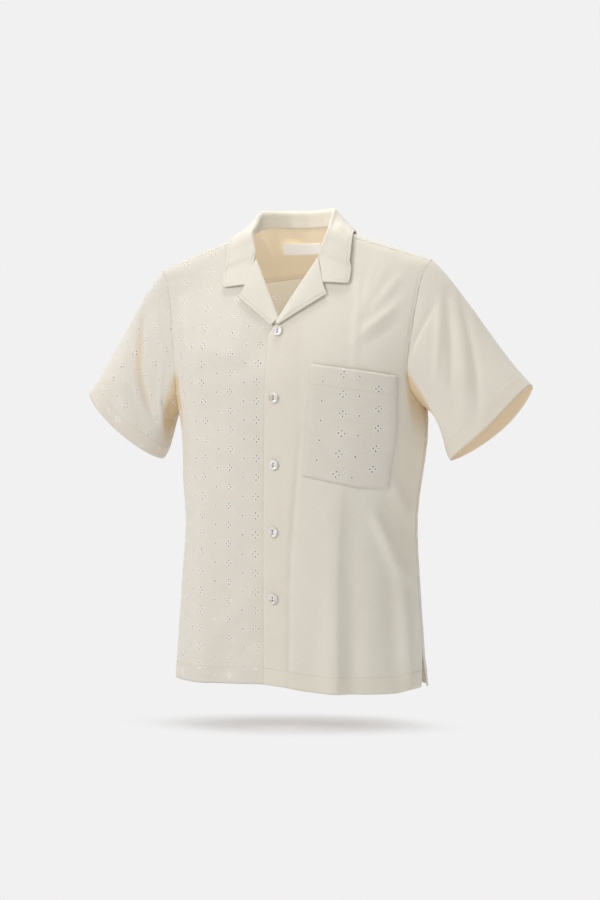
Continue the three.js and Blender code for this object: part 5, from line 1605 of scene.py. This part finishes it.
class SHIRT_OT_stage(bpy.types.Operator):
    """Make the floor, the lights and the camera"""

    bl_idname = "shirt.stage"
    bl_label = "Stage"

    def execute(self, context):
        scene = context.scene
        turn = math.radians(CAMERA["turn"])
        cos, sin = math.cos(turn), math.sin(turn)
        self.floor(scene, cos, sin)
        world = bpy.data.worlds.new("Studio")
        world.use_nodes = True
        sky = world.node_tree.nodes["Background"]
        sky.inputs["Color"].default_value = (1, 0.975, 0.94, 1)
        sky.inputs["Strength"].default_value = 0.5
        scene.world = world
        scene.view_settings.view_transform = "Standard"
        lens = bpy.data.cameras.new("Camera")
        lens.sensor_fit = "VERTICAL"
        lens.sensor_height = 36
        lens.lens = CAMERA["lens"]
        lens.clip_end = 60
        camera = bpy.data.objects.new("Camera", lens)
        side, back = CAMERA["side"], CAMERA["back"]
        camera.location = (side * cos + back * sin, side * sin - back * cos, CAMERA["z"])
        camera.rotation_euler = (math.pi / 2, 0, turn)
        scene.collection.objects.link(camera)
        scene.camera = camera
        return {"FINISHED"}

    def floor(self, scene, cos, sin):
        """A floor that rises behind as a quarter of a circle and a wall, turned to face the camera. It
        glows evenly but for an oval under the shirt, where it shows the shirt's soft shadow. The key
        light doesn't reach it."""
        t = np.linspace(0, math.pi / 2, 24)
        y = np.concatenate([[-9, -4, 0, 3], 4 + 3 * np.sin(t)[1:], [7]])
        z = np.concatenate([[0, 0, 0, 0], 3 * (1 - np.cos(t))[1:], [11]]) + FLOOR_Z
        x, y = np.meshgrid(np.linspace(-12, 12, 9), y)
        p = np.stack([x * cos - y * sin, x * sin + y * cos, z[:, None] + 0 * x], -1)
        mesh = bpy.data.meshes.new("Floor")
        mesh.from_pydata(p.reshape(-1, 3).tolist(), [], grid_quads(*x.shape).tolist())
        mesh.polygons.foreach_set("use_smooth", [True] * len(mesh.polygons))
        floor = bpy.data.objects.new("Floor", mesh)
        scene.collection.objects.link(floor)
        tree, shader = new_material("Paper", Roughness=1.0, Specular_IOR_Level=0.0, Emission_Strength=1.0)
        place = node(tree, "ShaderNodeTexCoord").outputs["Object"]
        squares = []
        for way in ((cos, sin, 0), (2.2 * sin, -2.2 * cos, 0)):
            dot = node(tree, "ShaderNodeVectorMath", {0: place, 1: way}, operation="DOT_PRODUCT")
            squares.append(maths(tree, "MULTIPLY", dot.outputs["Value"], dot.outputs["Value"]))
        far = maths(tree, "SQRT", maths(tree, "ADD", *squares))
        near = ramp(tree, far, 0.0, 0.34, 1.0, 0.0)
        matt = blend(tree, near, (0, 0, 0, 1), (0.74, 0.74, 0.75, 1))
        lit = blend(tree, near, (0.88, 0.88, 0.88, 1), (0.245, 0.245, 0.25, 1))
        tree.links.new(matt, shader.inputs["Base Color"])
        tree.links.new(lit, shader.inputs["Emission Color"])
        mesh.materials.append(material("Paper"))
        key = self.light("Key", (-2.4, -3.0, 2.0), 76, 1.5)
        unlit = bpy.data.collections.new("Not lit by the key light")
        unlit.objects.link(floor)
        key.light_linking.receiver_collection = unlit
        unlit.collection_objects[0].light_linking.link_state = "EXCLUDE"
        self.light("Top", (0.0, 0.1, 2.3), 33, 0.45)

    def light(self, name, place, watts, size):
        """A soft square white light that looks at the middle of the shirt."""
        lamp = bpy.data.lights.new(name, "AREA")
        lamp.energy, lamp.size = watts, size
        ob = bpy.data.objects.new(name, lamp)
        way = np.array([0, 0, MIDDLE_Z]) - np.array(place)
        flat = math.hypot(way[0], way[1])
        ob.location = place
        ob.rotation_euler = (math.atan2(flat, -way[2]), 0, math.atan2(-way[0], way[1]))
        bpy.context.scene.collection.objects.link(ob)
        return ob


class SHIRT_PT_panel(bpy.types.Panel):
    """The shirt's operators and its sizes and colours"""

    bl_idname = "SHIRT_PT_panel"
    bl_label = "Shirt"
    bl_space_type = "VIEW_3D"
    bl_region_type = "UI"
    bl_category = "Shirt"

    def draw(self, context):
        for settings in (context.scene.shirt_sizes, context.scene.shirt_colours):
            for name in settings.__annotations__:
                self.layout.prop(settings, name)
        for operator in OPERATORS:
            self.layout.operator(operator.bl_idname)


OPERATORS = (
    SHIRT_OT_stage, SHIRT_OT_materials, SHIRT_OT_fronts, SHIRT_OT_back, SHIRT_OT_yoke, SHIRT_OT_sleeves,
    SHIRT_OT_collar, SHIRT_OT_facings, SHIRT_OT_pocket, SHIRT_OT_label, SHIRT_OT_buttons, SHIRT_OT_sewing,
)
CLASSES = (ShirtSizes, ShirtColours, *OPERATORS, SHIRT_PT_panel)


def register():
    for cls in CLASSES:
        bpy.utils.register_class(cls)
    bpy.types.Scene.shirt_sizes = bpy.props.PointerProperty(type=ShirtSizes)
    bpy.types.Scene.shirt_colours = bpy.props.PointerProperty(type=ShirtColours)


def unregister():
    del bpy.types.Scene.shirt_colours
    del bpy.types.Scene.shirt_sizes
    for cls in reversed(CLASSES):
        bpy.utils.unregister_class(cls)


def main():
    """Registers the add-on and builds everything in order."""
    register()
    bpy.ops.shirt.stage()
    bpy.ops.shirt.materials()
    bpy.ops.shirt.fronts()
    bpy.ops.shirt.back()
    bpy.ops.shirt.yoke()
    bpy.ops.shirt.sleeves()
    bpy.ops.shirt.collar()
    bpy.ops.shirt.facings()
    bpy.ops.shirt.pocket()
    bpy.ops.shirt.label()
    bpy.ops.shirt.buttons()
    bpy.ops.shirt.sewing()


if __name__ == "__main__":
    main()
